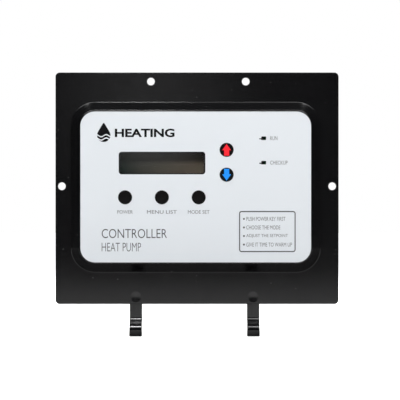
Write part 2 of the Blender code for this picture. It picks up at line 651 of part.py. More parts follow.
def make_display():
    centre = (WINDOW_X, WINDOW_Z)
    shell_rear = LCD_BOARD_FRONT - GAP
    frame = block("lcd_frame", (LCD_FRAME_W, shell_rear - LCD_FRONT, LCD_FRAME_H),
                  (WINDOW_X, (LCD_FRONT + shell_rear) / 2, WINDOW_Z), BLACK_STEEL)
    inner_w, inner_h = LCD_FRAME_W - 2 * LCD_SHEET_T, LCD_FRAME_H - 2 * LCD_SHEET_T
    inner_front = LCD_FRONT + LCD_SHEET_T
    hollow = block("cut_lcd_frame", (inner_w, shell_rear + OVERRUN - inner_front, inner_h),
                   (WINDOW_X, (inner_front + shell_rear + OVERRUN) / 2, WINDOW_Z), BLACK_STEEL,
                   collection=CUTTERS)
    view = sheet("cut_lcd_view", (WINDOW_W - 2 * LCD_VIEW_INSET, WINDOW_H - LCD_VIEW_INSET),
                 LCD_VIEW_CORNER_R, LCD_FRONT - OVERRUN, inner_front + OVERRUN, BLACK_STEEL, centre,
                 CUTTERS)
    combine(frame, "DIFFERENCE", [hollow, view])

    glass_w, glass_h = inner_w - 2 * GAP, inner_h - 2 * GAP
    block("lcd_glass", (glass_w, LCD_GLASS_T, glass_h),
          (WINDOW_X, LCD_GLASS_FRONT + LCD_GLASS_T / 2, WINDOW_Z), LCD_GLASS)
    block("lcd_backlight", (glass_w, LCD_LIGHT_T, glass_h),
          (WINDOW_X, LCD_LIGHT_FRONT + LCD_LIGHT_T / 2, WINDOW_Z), LCD_LIGHT, SMALL_EDGE)
    board = sheet("lcd_board", (LCD_BOARD_W, LCD_BOARD_H), LCD_BOARD_CORNER_R, LCD_BOARD_FRONT,
                  LCD_BOARD_REAR, GREEN_BOARD, centre)
    combine(board, "DIFFERENCE", [
        rod(f"cut_lcd_board_hole_{number}", LCD_SCREW_R + BOARD_HOLE_GAP, LCD_BOARD_FRONT - OVERRUN,
            LCD_BOARD_REAR + OVERRUN, place, GREEN_BOARD, CUTTERS, SMALL_STEPS)
        for number, place in enumerate(lcd_hole_places(), 1)])
    header_front, header_rear = LCD_BOARD_REAR + GAP, BOARD_Y - GAP
    block("lcd_header", (LCD_HEADER_WAYS * CONNECTOR_PITCH, header_rear - header_front, CONNECTOR_PITCH),
          (WINDOW_X, (header_front + header_rear) / 2,
           WINDOW_Z + LCD_BOARD_H / 2 - LCD_HOLE_INSET), BLACK_MATTE, SMALL_EDGE)


def screw_mesh(name, shank_r, length):
    """A pan head with a cross recess on a plain shank; the head's underside is at height 0."""
    head_r, head_h = 2.0 * shank_r, 1.3 * shank_r
    profile = [(0, head_h), (0.55 * head_r, 0.93 * head_h), (0.9 * head_r, 0.6 * head_h), (head_r, 0),
               (shank_r, 0), (shank_r, SCREW_POINT - length), (0.6 * shank_r, -length), (0, -length)]
    solid = bpy.data.objects.new(name + "_blank", turned_mesh(name, profile, SMALL_STEPS))
    CUTTERS.objects.link(solid)
    arm = (1.7 * shank_r, 0.4 * shank_r)
    recess = [block(f"{name}_recess_{number}", (*size, 1.2 * head_h), (0, 0, 1.05 * head_h), ZINC_STEEL,
                    collection=CUTTERS)
              for number, size in enumerate((arm, arm[::-1]), 1)]
    combine(solid, "DIFFERENCE", recess)
    bpy.context.view_layer.update()
    mesh = bpy.data.meshes.new_from_object(solid.evaluated_get(bpy.context.evaluated_depsgraph_get()))
    for helper in [solid] + recess:
        bpy.data.objects.remove(helper, do_unlink=True)
    mesh.materials.clear()
    mesh.materials.append(ZINC_STEEL)
    return mesh


def place_screws(group, shank_r, length, seat, places):
    mesh = screw_mesh(group, shank_r, length)
    for number, (x, z) in enumerate(places, 1):
        finish(mesh, f"{group}_{number}", ZINC_STEEL,
               Matrix.Translation((x, seat + HEAD_GAP, z)) @ FACING_REAR)


# ---------------------------------------------------------------- control board, front side

def make_control_board():
    board = sheet("control_board", (BOARD_W, BOARD_H), BOARD_CORNER_R, BOARD_Y, BOARD_REAR, GREEN_BOARD,
                  (CENTRE_X, CENTRE_Z))
    combine(board, "DIFFERENCE", [
        rod(f"cut_board_hole_{number}", BOARD_SCREW_R + BOARD_HOLE_GAP, BOARD_Y - OVERRUN,
            BOARD_REAR + OVERRUN, place, GREEN_BOARD, CUTTERS, SMALL_STEPS)
        for number, place in enumerate(board_hole_places(), 1)])


def make_switches():
    stem_length = STEM_REAR - STEM_FRONT
    stem_profile = [(0, 0), (STEM_D / 2 - STEM_EDGE, 0), (STEM_D / 2, -STEM_EDGE),
                    (STEM_D / 2, -stem_length), (0, -stem_length)]
    stem = turned_mesh("switch_stem", stem_profile, SMALL_STEPS)
    for name, (x, z) in KEY_PLACES.items():
        finish(stem, f"switch_stem_{name}", SWITCH_PLASTIC,
               Matrix.Translation((x, STEM_FRONT, z)) @ FACING_FRONT)
        housing = block(f"switch_{name}", (SWITCH_SIDE, SWITCH_H, SWITCH_SIDE),
                        (x, SWITCH_FRONT + SWITCH_H / 2, z), BLACK_STEEL, SWITCH_EDGE)
        combine(housing, "DIFFERENCE", [
            rod(f"cut_switch_{name}", STEM_D / 2 + SLIDE_GAP, SWITCH_FRONT - OVERRUN,
                SWITCH_FRONT + STEM_POCKET, (x, z), SWITCH_PLASTIC, CUTTERS, SMALL_STEPS)])


def make_indicators():
    """Each LED stands on a spacer that lifts it from the board to its window."""
    led_front = DECK_REAR + GAP
    spacer_front = led_front + LED_H + GAP
    dome = [(0, 0), (0.5 * LED_R, -0.2 * LED_R), (0.87 * LED_R, -0.5 * LED_R), (LED_R, -LED_R),
            (LED_R, LED_FLANGE_H - LED_H), (LED_R + LED_FLANGE, LED_FLANGE_H - LED_H),
            (LED_R + LED_FLANGE, -LED_H), (0, -LED_H)]
    for name, z in zip(("on", "service"), INDICATOR_Z):
        x = INDICATOR_X + LED_SHIFT
        turned(f"led_{name}", dome, SMALL_STEPS, LED_EPOXY,
               Matrix.Translation((x, led_front, z)) @ FACING_FRONT)
        rod(f"led_spacer_{name}", LED_SPACER_R, spacer_front, BOARD_Y - GAP, (x, z), BLACK_MATTE,
            steps=SMALL_STEPS)


# ---------------------------------------------------------------- control board, rear side

def on_board(x, height, z):
    """A point above the board's rear face, placed from the board's centre."""
    return Vector((CENTRE_X + x, PARTS_Y + height, CENTRE_Z + z))


def make_relays_and_capacitors():
    for number in range(RELAY_COUNT):
        x = -BOARD_W / 2 + RELAY_FROM_LEFT + number * RELAY_PITCH
        block(f"relay_{number + 1}", RELAY_SIZE,
              on_board(x, RELAY_SIZE[1] / 2, BOARD_H / 2 - RELAY_FROM_TOP), RELAY_BLUE, RELAY_EDGE)
    top, groove = CAPACITOR_H, CAPACITOR_GROOVE_RISE
    can = [(0, top), (CAPACITOR_R - CAPACITOR_EDGE, top), (CAPACITOR_R, top - CAPACITOR_EDGE),
           (CAPACITOR_R, groove + CAPACITOR_GROOVE_HALF), (CAPACITOR_R - CAPACITOR_GROOVE_DEPTH, groove),
           (CAPACITOR_R, groove - CAPACITOR_GROOVE_HALF), (CAPACITOR_R, 0), (0, 0)]
    for number, x in enumerate(CAPACITOR_X, 1):
        turned(f"capacitor_{number}", can, ROUND_STEPS, CAPACITOR_SLEEVE,
               Matrix.Translation(on_board(x, 0, CAPACITOR_Z)) @ FACING_REAR)


def make_regulator():
    """A finned heat sink that stands on the board, with the regulator's tab against its flat side."""
    pitch = (SINK_W - SINK_FIN_T) / (SINK_FINS - 1)
    points = [(SINK_W / 2, 0), (-SINK_W / 2, 0)]
    for fin in range(SINK_FINS):
        left = -SINK_W / 2 + fin * pitch
        if fin:
            points.append((left, SINK_WEB))
        points += [(left, SINK_D), (left + SINK_FIN_T, SINK_D)]
        if fin < SINK_FINS - 1:
            points.append((left + SINK_FIN_T, SINK_WEB))
    x, z = BOARD_W / 2 - SINK_FROM_RIGHT, BOARD_H / 2 - SINK_FROM_TOP
    base = on_board(x, SINK_H / 2, z)
    extruded("heat_sink", points, SINK_H, SINK_ALUMINIUM, Matrix.Translation(base) @ SEEN_FRONT)

    side = [(0, 0), (-REGULATOR_BODY_D, 0), (-REGULATOR_BODY_D, REGULATOR_BODY_H),
            (-REGULATOR_TAB_T, REGULATOR_BODY_H), (-REGULATOR_TAB_T, REGULATOR_TAB_H), (0, REGULATOR_TAB_H)]
    tab_face = on_board(x, REGULATOR_RISE, z) - Vector((0, 0, GAP))
    upright = Matrix(((0, 0, 1), (0, 1, 0), (1, 0, 0))) @ Matrix.Diagonal((1, 1, -1))
    extruded("regulator", side, REGULATOR_W, CHIP_EPOXY, Matrix.Translation(tab_face) @ upright.to_4x4())


def make_chip():
    block("microcontroller", CHIP_SIZE, on_board(CHIP_X, CHIP_SIZE[1] / 2, CHIP_Z), CHIP_EPOXY, CHIP_EDGE)


def make_fuse():
    """A glass fuse along X, its end caps, and the two spring clips that hold it over the board."""
    along_x = Matrix.Rotation(math.radians(90), 4, "Y")
    axis = on_board(FUSE_FROM_LEFT - BOARD_W / 2, FUSE_RISE, FUSE_Z)
    half = FUSE_LENGTH / 2
    tube = [(0, half), (FUSE_R, half), (FUSE_R, -half), (0, -half)]
    turned("fuse_tube", tube, SMALL_STEPS, FUSE_GLASS, Matrix.Translation(axis) @ along_x)
    cap_r = FUSE_R + GAP + FUSE_CAP_T
    top = GAP + FUSE_CAP_T
    mouth = top - FUSE_CAP_LENGTH
    cap = [(0, top), (cap_r, top), (cap_r, mouth), (FUSE_R + GAP, mouth), (FUSE_R + GAP, GAP), (0, GAP)]
    clip_r = cap_r + GAP + CLIP_T / 2
    arc = [(clip_r * math.sin(math.radians(angle)), -clip_r * math.cos(math.radians(angle)))
           for angle in (CLIP_WRAP * (2 * step / CLIP_STEPS - 1) for step in range(CLIP_STEPS + 1))]
    for number, side in enumerate((-1, 1), 1):
        turned(f"fuse_cap_{number}", cap, SMALL_STEPS, NICKEL,
               Matrix.Translation(axis + Vector((side * half, 0, 0)))
               @ Matrix.Rotation(math.radians(90 * side), 4, "Y"))
        centre = axis + Vector((side * (half - FUSE_CAP_LENGTH / 2), 0, 0))
        clip = extruded(f"fuse_clip_{number}", ribbon_points(arc, CLIP_T), CLIP_W, NICKEL,
                        Matrix.Translation(centre) @ SEEN_SIDE_FROM_BOARD)
        gap_under = FUSE_RISE - clip_r
        foot = block(f"add_fuse_foot_{number}", (CLIP_W - 2 * CLIP_FOOT_INSET, gap_under, CLIP_FOOT),
                     centre - Vector((0, FUSE_RISE - gap_under / 2, 0)), NICKEL, collection=CUTTERS)
        combine(clip, "UNION", [foot])


def make_terminals():
    """A row of screw terminals: wells for the screws at the rear, wire entries underneath."""
    width = TERMINAL_WAYS * TERMINAL_PITCH
    centre = on_board(TERMINAL_FROM_LEFT - BOARD_W / 2, TERMINAL_D / 2,
                      TERMINAL_FROM_BOTTOM - BOARD_H / 2)
    housing = block("terminal_block", (width, TERMINAL_D, TERMINAL_H), centre, TERMINAL_GREEN,
                    TERMINAL_EDGE)
    rear = centre.y + TERMINAL_D / 2
    floor = rear - TERMINAL_WELL_DEPTH
    screw_r, screw_top = TERMINAL_WELL_R - GAP, TERMINAL_SCREW_H
    profile = [(0, screw_top), (screw_r - SMALL_EDGE, screw_top), (screw_r, screw_top - SMALL_EDGE),
               (screw_r, 0), (0, 0)]
    for number in range(1, TERMINAL_WAYS + 1):
        x = centre.x + (number - (TERMINAL_WAYS + 1) / 2) * TERMINAL_PITCH
        well = rod(f"cut_terminal_well_{number}", TERMINAL_WELL_R, floor, rear + OVERRUN, (x, centre.z),
                   TERMINAL_GREEN, CUTTERS, SMALL_STEPS)
        entry = rod(f"cut_terminal_entry_{number}", TERMINAL_ENTRY_R, 0, TERMINAL_H / 2, (0, 0),
                    TERMINAL_GREEN, CUTTERS, SMALL_STEPS)
        entry.matrix_world = Matrix.Translation((x, centre.y - TERMINAL_ENTRY_DROP,
                                                 centre.z - TERMINAL_H / 2))
        combine(housing, "DIFFERENCE", [well, entry])
        screw = turned(f"terminal_screw_{number}", profile, SMALL_STEPS, ZINC_STEEL,
                       Matrix.Translation((x, floor + GAP, centre.z)) @ FACING_REAR)
        combine(screw, "DIFFERENCE", [
            block(f"cut_terminal_slot_{number}", (3 * screw_r, 2 * SLOT_DEPTH, SLOT_W),
                  (x, floor + GAP + screw_top, centre.z), ZINC_STEEL, collection=CUTTERS)])


def make_connector():
    """The sensor plug's socket: an open wafer with a row of square pins."""
    width = CONNECTOR_WAYS * CONNECTOR_PITCH + 2 * CONNECTOR_WALL
    base = on_board(CONNECTOR_X, 0, CONNECTOR_FROM_BOTTOM - BOARD_H / 2)
    shell = block("sensor_connector", (width, CONNECTOR_D, CONNECTOR_H),
                  base + Vector((0, CONNECTOR_D / 2, 0)), WHITE_NYLON)
    inner = (width - 2 * CONNECTOR_WALL, CONNECTOR_D, CONNECTOR_H - 2 * CONNECTOR_WALL)
    hollow = block("cut_connector", inner, base + Vector((0, CONNECTOR_D / 2 + CONNECTOR_FLOOR, 0)),
                   WHITE_NYLON, collection=CUTTERS)
    pins = []
    for number in range(1, CONNECTOR_WAYS + 1):
        x = (number - (CONNECTOR_WAYS + 1) / 2) * CONNECTOR_PITCH
        rise = CONNECTOR_FLOOR - PIN_ROOT + PIN_LENGTH / 2
        pins.append(block(f"add_pin_{number}", (PIN_SIDE, PIN_LENGTH, PIN_SIDE),
                          base + Vector((x, rise, 0)), WHITE_NYLON, collection=CUTTERS))
    combine(shell, "DIFFERENCE", [hollow])
    combine(shell, "UNION", pins)


def make_trimmer():
    """The contrast trimmer: a square case with a slotted rotor in its round pocket."""
    base = on_board(BOARD_W / 2 - TRIMMER_FROM_RIGHT, 0, TRIMMER_Z)
    case = block("trimmer_body", (TRIMMER_SIDE, TRIMMER_D, TRIMMER_SIDE),
                 base + Vector((0, TRIMMER_D / 2, 0)), TRIMMER_BLUE, TRIMMER_EDGE)
    pocket_floor = base.y + TRIMMER_D - ROTOR_SINK - GAP
    combine(case, "DIFFERENCE", [
        rod("cut_trimmer", ROTOR_R + SLIDE_GAP, pocket_floor, base.y + TRIMMER_D + OVERRUN,
            (base.x, base.z),
            TRIMMER_BLUE, CUTTERS)])
    profile = [(0, ROTOR_T), (ROTOR_R - SMALL_EDGE, ROTOR_T), (ROTOR_R, ROTOR_T - SMALL_EDGE),
               (ROTOR_R, 0), (0, 0)]
    rotor = turned("trimmer_rotor", profile, ROUND_STEPS, WHITE_NYLON,
                   Matrix.Translation((base.x, pocket_floor + GAP, base.z)) @ FACING_REAR)
    combine(rotor, "DIFFERENCE", [
        block("cut_rotor_slot", (1.6 * ROTOR_R, 2 * ROTOR_SLOT_DEPTH, ROTOR_SLOT_W),
              (base.x, pocket_floor + GAP + ROTOR_T, base.z), WHITE_NYLON, collection=CUTTERS)])


def main():
    make_bezel()
    make_overlay()
    make_windows()
    make_keys()
    make_display()
    place_screws("lcd_screw", LCD_SCREW_R, LCD_SCREW_LENGTH, LCD_BOARD_REAR, lcd_hole_places())
    make_control_board()
    place_screws("board_screw", BOARD_SCREW_R, BOARD_SCREW_LENGTH, BOARD_REAR, board_hole_places())
    make_switches()
    make_indicators()
    make_relays_and_capacitors()
    make_regulator()
    make_chip()
    make_fuse()
    make_terminals()
    make_connector()
    make_trimmer()


main()
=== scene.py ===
"""Looks of a pool heat pump's control panel: its moulding, printed face, keys, display and circuit board.

The sizes are in metres. +X is the panel's right, +Z is up, and the front faces -Y.
"""

import math

import bmesh
import bpy
import numpy as np
from bpy.props import FloatProperty, FloatVectorProperty, PointerProperty
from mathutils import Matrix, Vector


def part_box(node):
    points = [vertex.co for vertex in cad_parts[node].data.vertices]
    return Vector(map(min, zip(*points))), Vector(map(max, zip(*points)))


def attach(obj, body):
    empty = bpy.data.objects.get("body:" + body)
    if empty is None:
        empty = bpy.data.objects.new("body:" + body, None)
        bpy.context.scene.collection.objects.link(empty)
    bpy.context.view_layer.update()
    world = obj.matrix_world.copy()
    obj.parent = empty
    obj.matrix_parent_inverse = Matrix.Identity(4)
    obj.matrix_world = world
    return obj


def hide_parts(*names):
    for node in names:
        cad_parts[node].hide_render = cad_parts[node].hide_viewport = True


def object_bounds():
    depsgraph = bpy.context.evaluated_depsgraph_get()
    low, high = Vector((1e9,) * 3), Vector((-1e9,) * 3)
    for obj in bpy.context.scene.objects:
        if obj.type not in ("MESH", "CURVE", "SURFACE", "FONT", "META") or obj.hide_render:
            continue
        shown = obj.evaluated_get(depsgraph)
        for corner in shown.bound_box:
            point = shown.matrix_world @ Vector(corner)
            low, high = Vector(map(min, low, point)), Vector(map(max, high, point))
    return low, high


bl_info = {
    "name": "Heat Pump Control Panel",
    "version": (1, 0, 0),
    "blender": (4, 5, 0),
    "location": "View3D > Sidebar > Control Panel",
    "description": "Builds the finished surfaces of a heat pump's control panel around its solids",
    "category": "Object",
}

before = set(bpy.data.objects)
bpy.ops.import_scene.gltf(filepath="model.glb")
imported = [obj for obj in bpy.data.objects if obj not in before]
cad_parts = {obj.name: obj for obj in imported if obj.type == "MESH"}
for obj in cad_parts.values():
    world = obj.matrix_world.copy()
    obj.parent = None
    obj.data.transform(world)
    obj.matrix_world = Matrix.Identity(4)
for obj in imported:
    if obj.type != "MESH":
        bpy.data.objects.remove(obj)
CAD_LOW, CAD_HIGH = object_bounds()

MM = 0.001
KEY_NAMES = ("power", "menu", "mode", "up", "down")
ARROW_SLOTS = {"up": "red_arrow_key", "down": "blue_arrow_key"}
LAMP_NAMES = ("on", "service")
INK = 0.03 * MM            # thickness of a printed layer
TOUCH = 0.01 * MM          # air under a printed layer
TINY = 0.001 * MM
PAST = 1 * MM              # how far a cutter reaches past what it cuts
HOOK_PLACES = (-47.5 * MM, 43.6 * MM)
KEY_HOLE_R = 5.45 * MM
LEAD_PITCH = 0.8 * MM      # of the chip's leads
PIN_PITCH = 2.54 * MM


# ---------------------------------------------------------------- places read from the frame

def middle(node):
    low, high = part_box(node)
    return (low + high) / 2


def place_of(node):
    """The (x, z) of a node's middle."""
    spot = middle(node)
    return spot.x, spot.z


def extent(node):
    low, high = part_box(node)
    return high - low


def front_of(node):
    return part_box(node)[0].y


def rear_of(node):
    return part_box(node)[1].y


PLATE_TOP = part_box("bezel")[1].z
PLATE_W = extent("bezel").x
PLATE_H = 2 * PLATE_TOP
FACE_PLACE = place_of("graphic_overlay")
FACE_W, FACE_H = extent("graphic_overlay").x, extent("graphic_overlay").z
FACE_FRONT = front_of("graphic_overlay")
WINDOW_PLACE = place_of("display_window")
DECK_FRONT = front_of("display_window") - 0.3 * MM
PRINT_REAR = FACE_FRONT - TOUCH


# ---------------------------------------------------------------- surfaces

def rounded_loop(width, height, radius, steps=12):
    """A round-cornered rectangle: each corner's centre plus the radius times (cosine, sine) of a quarter
    turn."""
    turn = np.radians(np.linspace(0, 90, steps + 1) + 90 * np.arange(4)[:, None])
    signs = np.array(((1, 1), (-1, 1), (-1, -1), (1, -1)))
    centres = signs * (np.array((width, height)) / 2 - radius)
    return (centres[:, None] + radius * np.stack((np.cos(turn), np.sin(turn)), -1)).reshape(-1, 2)


def circle_loop(radius, steps=48):
    """A circle: the radius times (cosine, sine) of a full turn."""
    turn = np.linspace(0, 2 * np.pi, steps, endpoint=False)
    return radius * np.stack((np.cos(turn), np.sin(turn)), -1)


def filleted(corners, steps=5):
    """A polyline with rounded corners: each (x, y, radius) becomes an arc that touches both of its
    sides."""
    points = []
    spots = [np.array(corner[:2], float) for corner in corners]
    for index, (spot, corner) in enumerate(zip(spots, corners)):
        if index in (0, len(spots) - 1) or corner[2] == 0:
            points.append(spot[None])
            continue
        back, ahead = spots[index - 1] - spot, spots[index + 1] - spot
        back, ahead = back / np.linalg.norm(back), ahead / np.linalg.norm(ahead)
        half = math.acos(np.clip(back @ ahead, -1, 1)) / 2
        bisector = (back + ahead) / np.linalg.norm(back + ahead)
        centre = spot + bisector * corner[2] / math.sin(half)
        reach = corner[2] / math.tan(half)
        start, end = spot + back * reach - centre, spot + ahead * reach - centre
        sweep = math.atan2(start[0] * end[1] - start[1] * end[0], start @ end)
        turn = np.linspace(0, sweep, steps + 1)[:, None]
        side = np.array((-start[1], start[0]))
        points.append(centre + start * np.cos(turn) + side * np.sin(turn))
    return np.concatenate(points)


def stood(flat, level, axis="Y"):
    """Points of a flat outline put at a level along an axis: flat is (count, 2) and seen from -Y, +X or
    +Z."""
    level = np.full(len(flat), level)
    order = {"Y": (flat[:, 0], level, flat[:, 1]), "X": (level, flat[:, 0], flat[:, 1]),
             "Z": (flat[:, 0], flat[:, 1], level)}
    return np.stack(order[axis], -1)


def skin(loops, ends=True):
    """Points and faces of a skin through loops of equal length: quads between neighbours, a flat face on
    each end."""
    loops = np.asarray(loops, float)
    rows, around = loops.shape[:2]
    index = np.arange(rows * around).reshape(rows, around)
    after = np.roll(index, -1, axis=1)
    faces = np.stack((index[:-1], after[:-1], after[1:], index[1:]), -1).reshape(-1, 4).tolist()
    if ends:
        faces += [index[0, ::-1].tolist(), index[-1].tolist()]
    return loops.reshape(-1, 3), faces


def boxed(size, corner, section, centre=(0, 0), axis="Y", steps=8):
    """A block of round-cornered outlines: each (inset, level) row of its section draws the outline in."""
    loops = []
    for inset, level in section:
        flat = rounded_loop(size[0] - 2 * inset, size[1] - 2 * inset, max(corner - inset, TINY), steps)
        loops.append(stood(flat + np.array(centre), level, axis))
    return skin(loops)


def edged(low, high, edge_low, edge_high, steps=4):
    """A block's section with a quarter-round edge at either end, as (inset, level) rows."""
    turn = np.radians(np.linspace(0, 90, steps + 1))
    first = np.stack((edge_low * (1 - np.sin(turn)), low + edge_low * (1 - np.cos(turn))), -1)
    last = np.stack((edge_high * (1 - np.sin(turn)), high - edge_high * (1 - np.cos(turn))), -1)[::-1]
    return np.concatenate((first, last))


def slab(size, corner, low, high, edge, centre=(0, 0), axis="Y", steps=8):
    """A plate or block with round corners and equal rounded edges."""
    return boxed(size, corner, edged(low, high, edge, edge), centre, axis, steps)


def turned(section, centre=(0, 0), axis="Y", steps=48):
    """A turned shape: each (radius, level) row of its section is a circle, and radius 0 closes it."""
    loops = [stood(circle_loop(max(radius, TINY / 10), steps) + np.array(centre), level, axis)
             for radius, level in section]
    return skin(loops)


def ribbon(path, width, thickness, across, corner, end_steps=5):
    """A flat bar swept along a path in the YZ plane: a round-cornered outline stands on the path's
    normal at each point, and shrinks over a quarter turn at the path's far end."""
    path = np.asarray(path, float)
    along = np.gradient(path, axis=0)
    along /= np.linalg.norm(along, axis=1)[:, None]
    turn = np.radians(np.linspace(0, 90, end_steps + 1))[1:]
    insets = np.concatenate((np.zeros(len(path)), corner * (1 - np.cos(turn))))
    tail = path[-1] + along[-1] * (corner * np.sin(turn))[:, None]
    path = np.concatenate((path, tail))
    along = np.concatenate((along, np.repeat(along[-1:], end_steps, axis=0)))
    loops = []
    for spot, direction, inset in zip(path, along, insets):
        flat = rounded_loop(width - 2 * inset, thickness - 2 * inset, max(corner - inset, TINY), 4)
        normal = np.array((-direction[1], direction[0]))
        yz = spot + flat[:, 1:] * normal
        loops.append(np.column_stack((across + flat[:, 0], yz)))
    return skin(loops)


def drum(radius, low, high, first, last, steps=4):
    """The section of a solid round block whose two edges have their own radii."""
    return filleted(((0, low, 0), (radius, low, first), (radius, high, last), (0, high, 0)), steps)


def rod(radius, low, high, centre, axis="Y", steps=24):
    """A plain round bar between two levels."""
    return turned(((0, low), (radius, low), (radius, high), (0, high)), centre, axis, steps)


def ring(outer, inner, low, high, axis="Y"):
    """A skin between two outlines of equal length: up the outer one and back down the inner one."""
    rows = ((outer, low), (outer, high), (inner, high), (inner, low), (outer, low))
    return skin([stood(flat, level, axis) for flat, level in rows], ends=False)


def joined(shapes):
    """Several (points, faces) shapes as one."""
    points, faces, start = [], [], 0
    for spots, sides in shapes:
        points.append(spots)
        faces += [[start + corner for corner in side] for side in sides]
        start += len(spots)
    return np.concatenate(points), faces


def turned_about(shape, degrees, centre):
    """A shape turned about +Y round a centre (x, z)."""
    angle = math.radians(degrees)
    x, z = shape[0][:, 0] - centre[0], shape[0][:, 2] - centre[1]
    spots = np.stack((centre[0] + x * math.cos(angle) - z * math.sin(angle), shape[0][:, 1],
                      centre[1] + x * math.sin(angle) + z * math.cos(angle)), -1)
    return spots, shape[1]


def strip(path, width, low, high):
    """A flat strip along a polyline in the XZ plane: both sides lie half a width from it, on the mitre of
    each bend."""
    path = np.asarray(path, float)
    along = np.diff(path, axis=0)
    along /= np.linalg.norm(along, axis=1)[:, None]
    side = np.stack((-along[:, 1], along[:, 0]), -1)
    before, after = np.concatenate((side[:1], side)), np.concatenate((side, side[-1:]))
    mitre = (before + after) / (1 + (before * after).sum(axis=1))[:, None]
    edge = np.concatenate((path + mitre * width / 2, (path - mitre * width / 2)[::-1]))
    return skin([stood(edge, low), stood(edge, high)])


def leg(path, width, thickness, across):
    """A bent flat lead that leaves along +X: a rectangle stands on the path's normal at each (x, y)
    point."""
    path = np.asarray(path, float)
    along = np.gradient(path, axis=0)
    along /= np.linalg.norm(along, axis=1)[:, None]
    normal = np.stack((-along[:, 1], along[:, 0]), -1) * thickness / 2
    loops = []
    for spot, rise in zip(path, normal):
        loops.append([(*(spot + rise), across - width / 2), (*(spot + rise), across + width / 2),
                      (*(spot - rise), across + width / 2), (*(spot - rise), across - width / 2)])
    return skin(loops)


def tube(outer, inner, low, high, centre, axis, steps=48):
    """A hollow turned tube: its section runs up the outside and back down the bore."""
    outer, inner = (circle_loop(radius, steps) + np.array(centre) for radius in (outer, inner))
    return ring(outer, inner, low, high, axis)


def mesh_of(name, shape):
    """A mesh from (points, faces), with its poles merged and its faces turned outwards."""
    mesh = bpy.data.meshes.new(name)
    mesh.from_pydata(shape[0].tolist(), [], shape[1])
    work = bmesh.new()
    work.from_mesh(mesh)
    bmesh.ops.remove_doubles(work, verts=work.verts, dist=TINY / 2)
    bmesh.ops.dissolve_degenerate(work, edges=work.edges, dist=TINY / 4)
    bmesh.ops.recalc_face_normals(work, faces=work.faces)
    work.to_mesh(mesh)
    work.free()
    return mesh


def smoothed(mesh, degrees=35):
    mesh.shade_smooth()
    mesh.set_sharp_from_angle(angle=math.radians(degrees))
    return mesh


def linked(name, data):
    """A new object in the scene's collection."""
    obj = bpy.data.objects.new(name, data)
    bpy.context.scene.collection.objects.link(obj)
    return obj


def settled(obj):
    """The object's mesh with its modifiers applied."""
    bpy.context.view_layer.update()
    graph = bpy.context.evaluated_depsgraph_get()
    mesh = bpy.data.meshes.new_from_object(obj.evaluated_get(graph))
    bpy.data.objects.remove(obj, do_unlink=True)
    return mesh


def carved(name, shape, steps, crossing=False):
    """A shape with others joined to it or cut out of it: steps is a list of (operation, shape). A tool
    whose own bodies cross each other needs crossing set."""
    obj = linked(name + "_blank", mesh_of(name, shape))
    tools = []
    for operation, tool_shape in steps:
        tool = linked(name + "_tool", mesh_of(name + "_tool", tool_shape))
        cut = obj.modifiers.new(operation, "BOOLEAN")
        cut.operation = operation
        cut.object = tool
        cut.use_self = crossing
        tools.append(tool)
    mesh = settled(obj)
    for tool in tools:
        bpy.data.objects.remove(tool, do_unlink=True)
    return mesh


def flat_kept(mesh, degrees=35):
    """Smooth shading whose large flat faces stay flat up to their rounded edges."""
    obj = linked("flat_kept", smoothed(mesh, degrees))
    weight = obj.modifiers.new("flat faces", "WEIGHTED_NORMAL")
    weight.keep_sharp = True
    weight.weight = 100
    return settled(obj)


def refined(node, width, degrees=40, segments=2):
    """A copy of a CAD solid with its loose triangles merged, its flats dissolved and its edges rounded."""
    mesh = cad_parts[node].data.copy()
    work = bmesh.new()
    work.from_mesh(mesh)
    bmesh.ops.remove_doubles(work, verts=work.verts, dist=TINY)
    bmesh.ops.dissolve_limit(work, angle_limit=math.radians(1), verts=work.verts, edges=work.edges)
    work.to_mesh(mesh)
    work.free()
    obj = linked(node + "_blank", mesh)
    bevel = obj.modifiers.new("edges", "BEVEL")
    bevel.width = width
    bevel.segments = segments
    bevel.limit_method = "ANGLE"
    bevel.angle_limit = math.radians(degrees)
    return flat_kept(settled(obj), degrees)


def painted(mesh, finish_name):
    mesh.materials.clear()
    mesh.materials.append(FINISHES[finish_name])


def piece(name, mesh, finish_name, slot, *nodes, body="panel"):
    """Put a finished mesh in the scene as a piece that rides a body and stands for CAD nodes."""
    mesh.name = name
    painted(mesh, finish_name)
    obj = linked(name, mesh)
    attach(obj, body)
    if nodes:
        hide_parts(*nodes)
    return obj


def repaint(node, finish_name):
    """Give a CAD node that stays in view its finish."""
    painted(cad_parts[node].data, finish_name)


# ---------------------------------------------------------------- materials

def new_group(name, inputs, outputs):
    """An empty shader node group with named sockets: (name, kind, default) in and (name, kind) out."""
    group = bpy.data.node_groups.new(name, "ShaderNodeTree")
    for socket_name, kind, default in inputs:
        socket = group.interface.new_socket(socket_name, in_out="INPUT", socket_type="NodeSocket" + kind)
        if default is not None:
            socket.default_value = default
    for socket_name, kind in outputs:
        group.interface.new_socket(socket_name, in_out="OUTPUT", socket_type="NodeSocket" + kind)
    return group, group.nodes.new("NodeGroupInput"), group.nodes.new("NodeGroupOutput")


def add(tree, kind, settings=(), links=()):
    """A node with its properties and sockets set, and its inputs linked from (socket, source) pairs."""
    node = tree.nodes.new("ShaderNode" + kind)
    for name, value in dict(settings).items():
        if isinstance(name, str) and hasattr(node, name):
            setattr(node, name, value)
        else:
            node.inputs[name].default_value = value
    for name, source in links:
        tree.links.new(source, node.inputs[name])
    return node


def maths(tree, operation, *terms):
    """The result of a Math node: each term is a number or the output that it comes from."""
    node = add(tree, "Math", {"operation": operation})
    for socket, term in zip(node.inputs, terms):
        if isinstance(term, float):
            socket.default_value = term
        else:
            tree.links.new(term, socket)
    return node.outputs[0]


def noise(tree, vector, scale, **settings):
    """The value of a noise texture."""
    return add(tree, "TexNoise", settings, (("Vector", vector), ("Scale", scale))).outputs["Fac"]


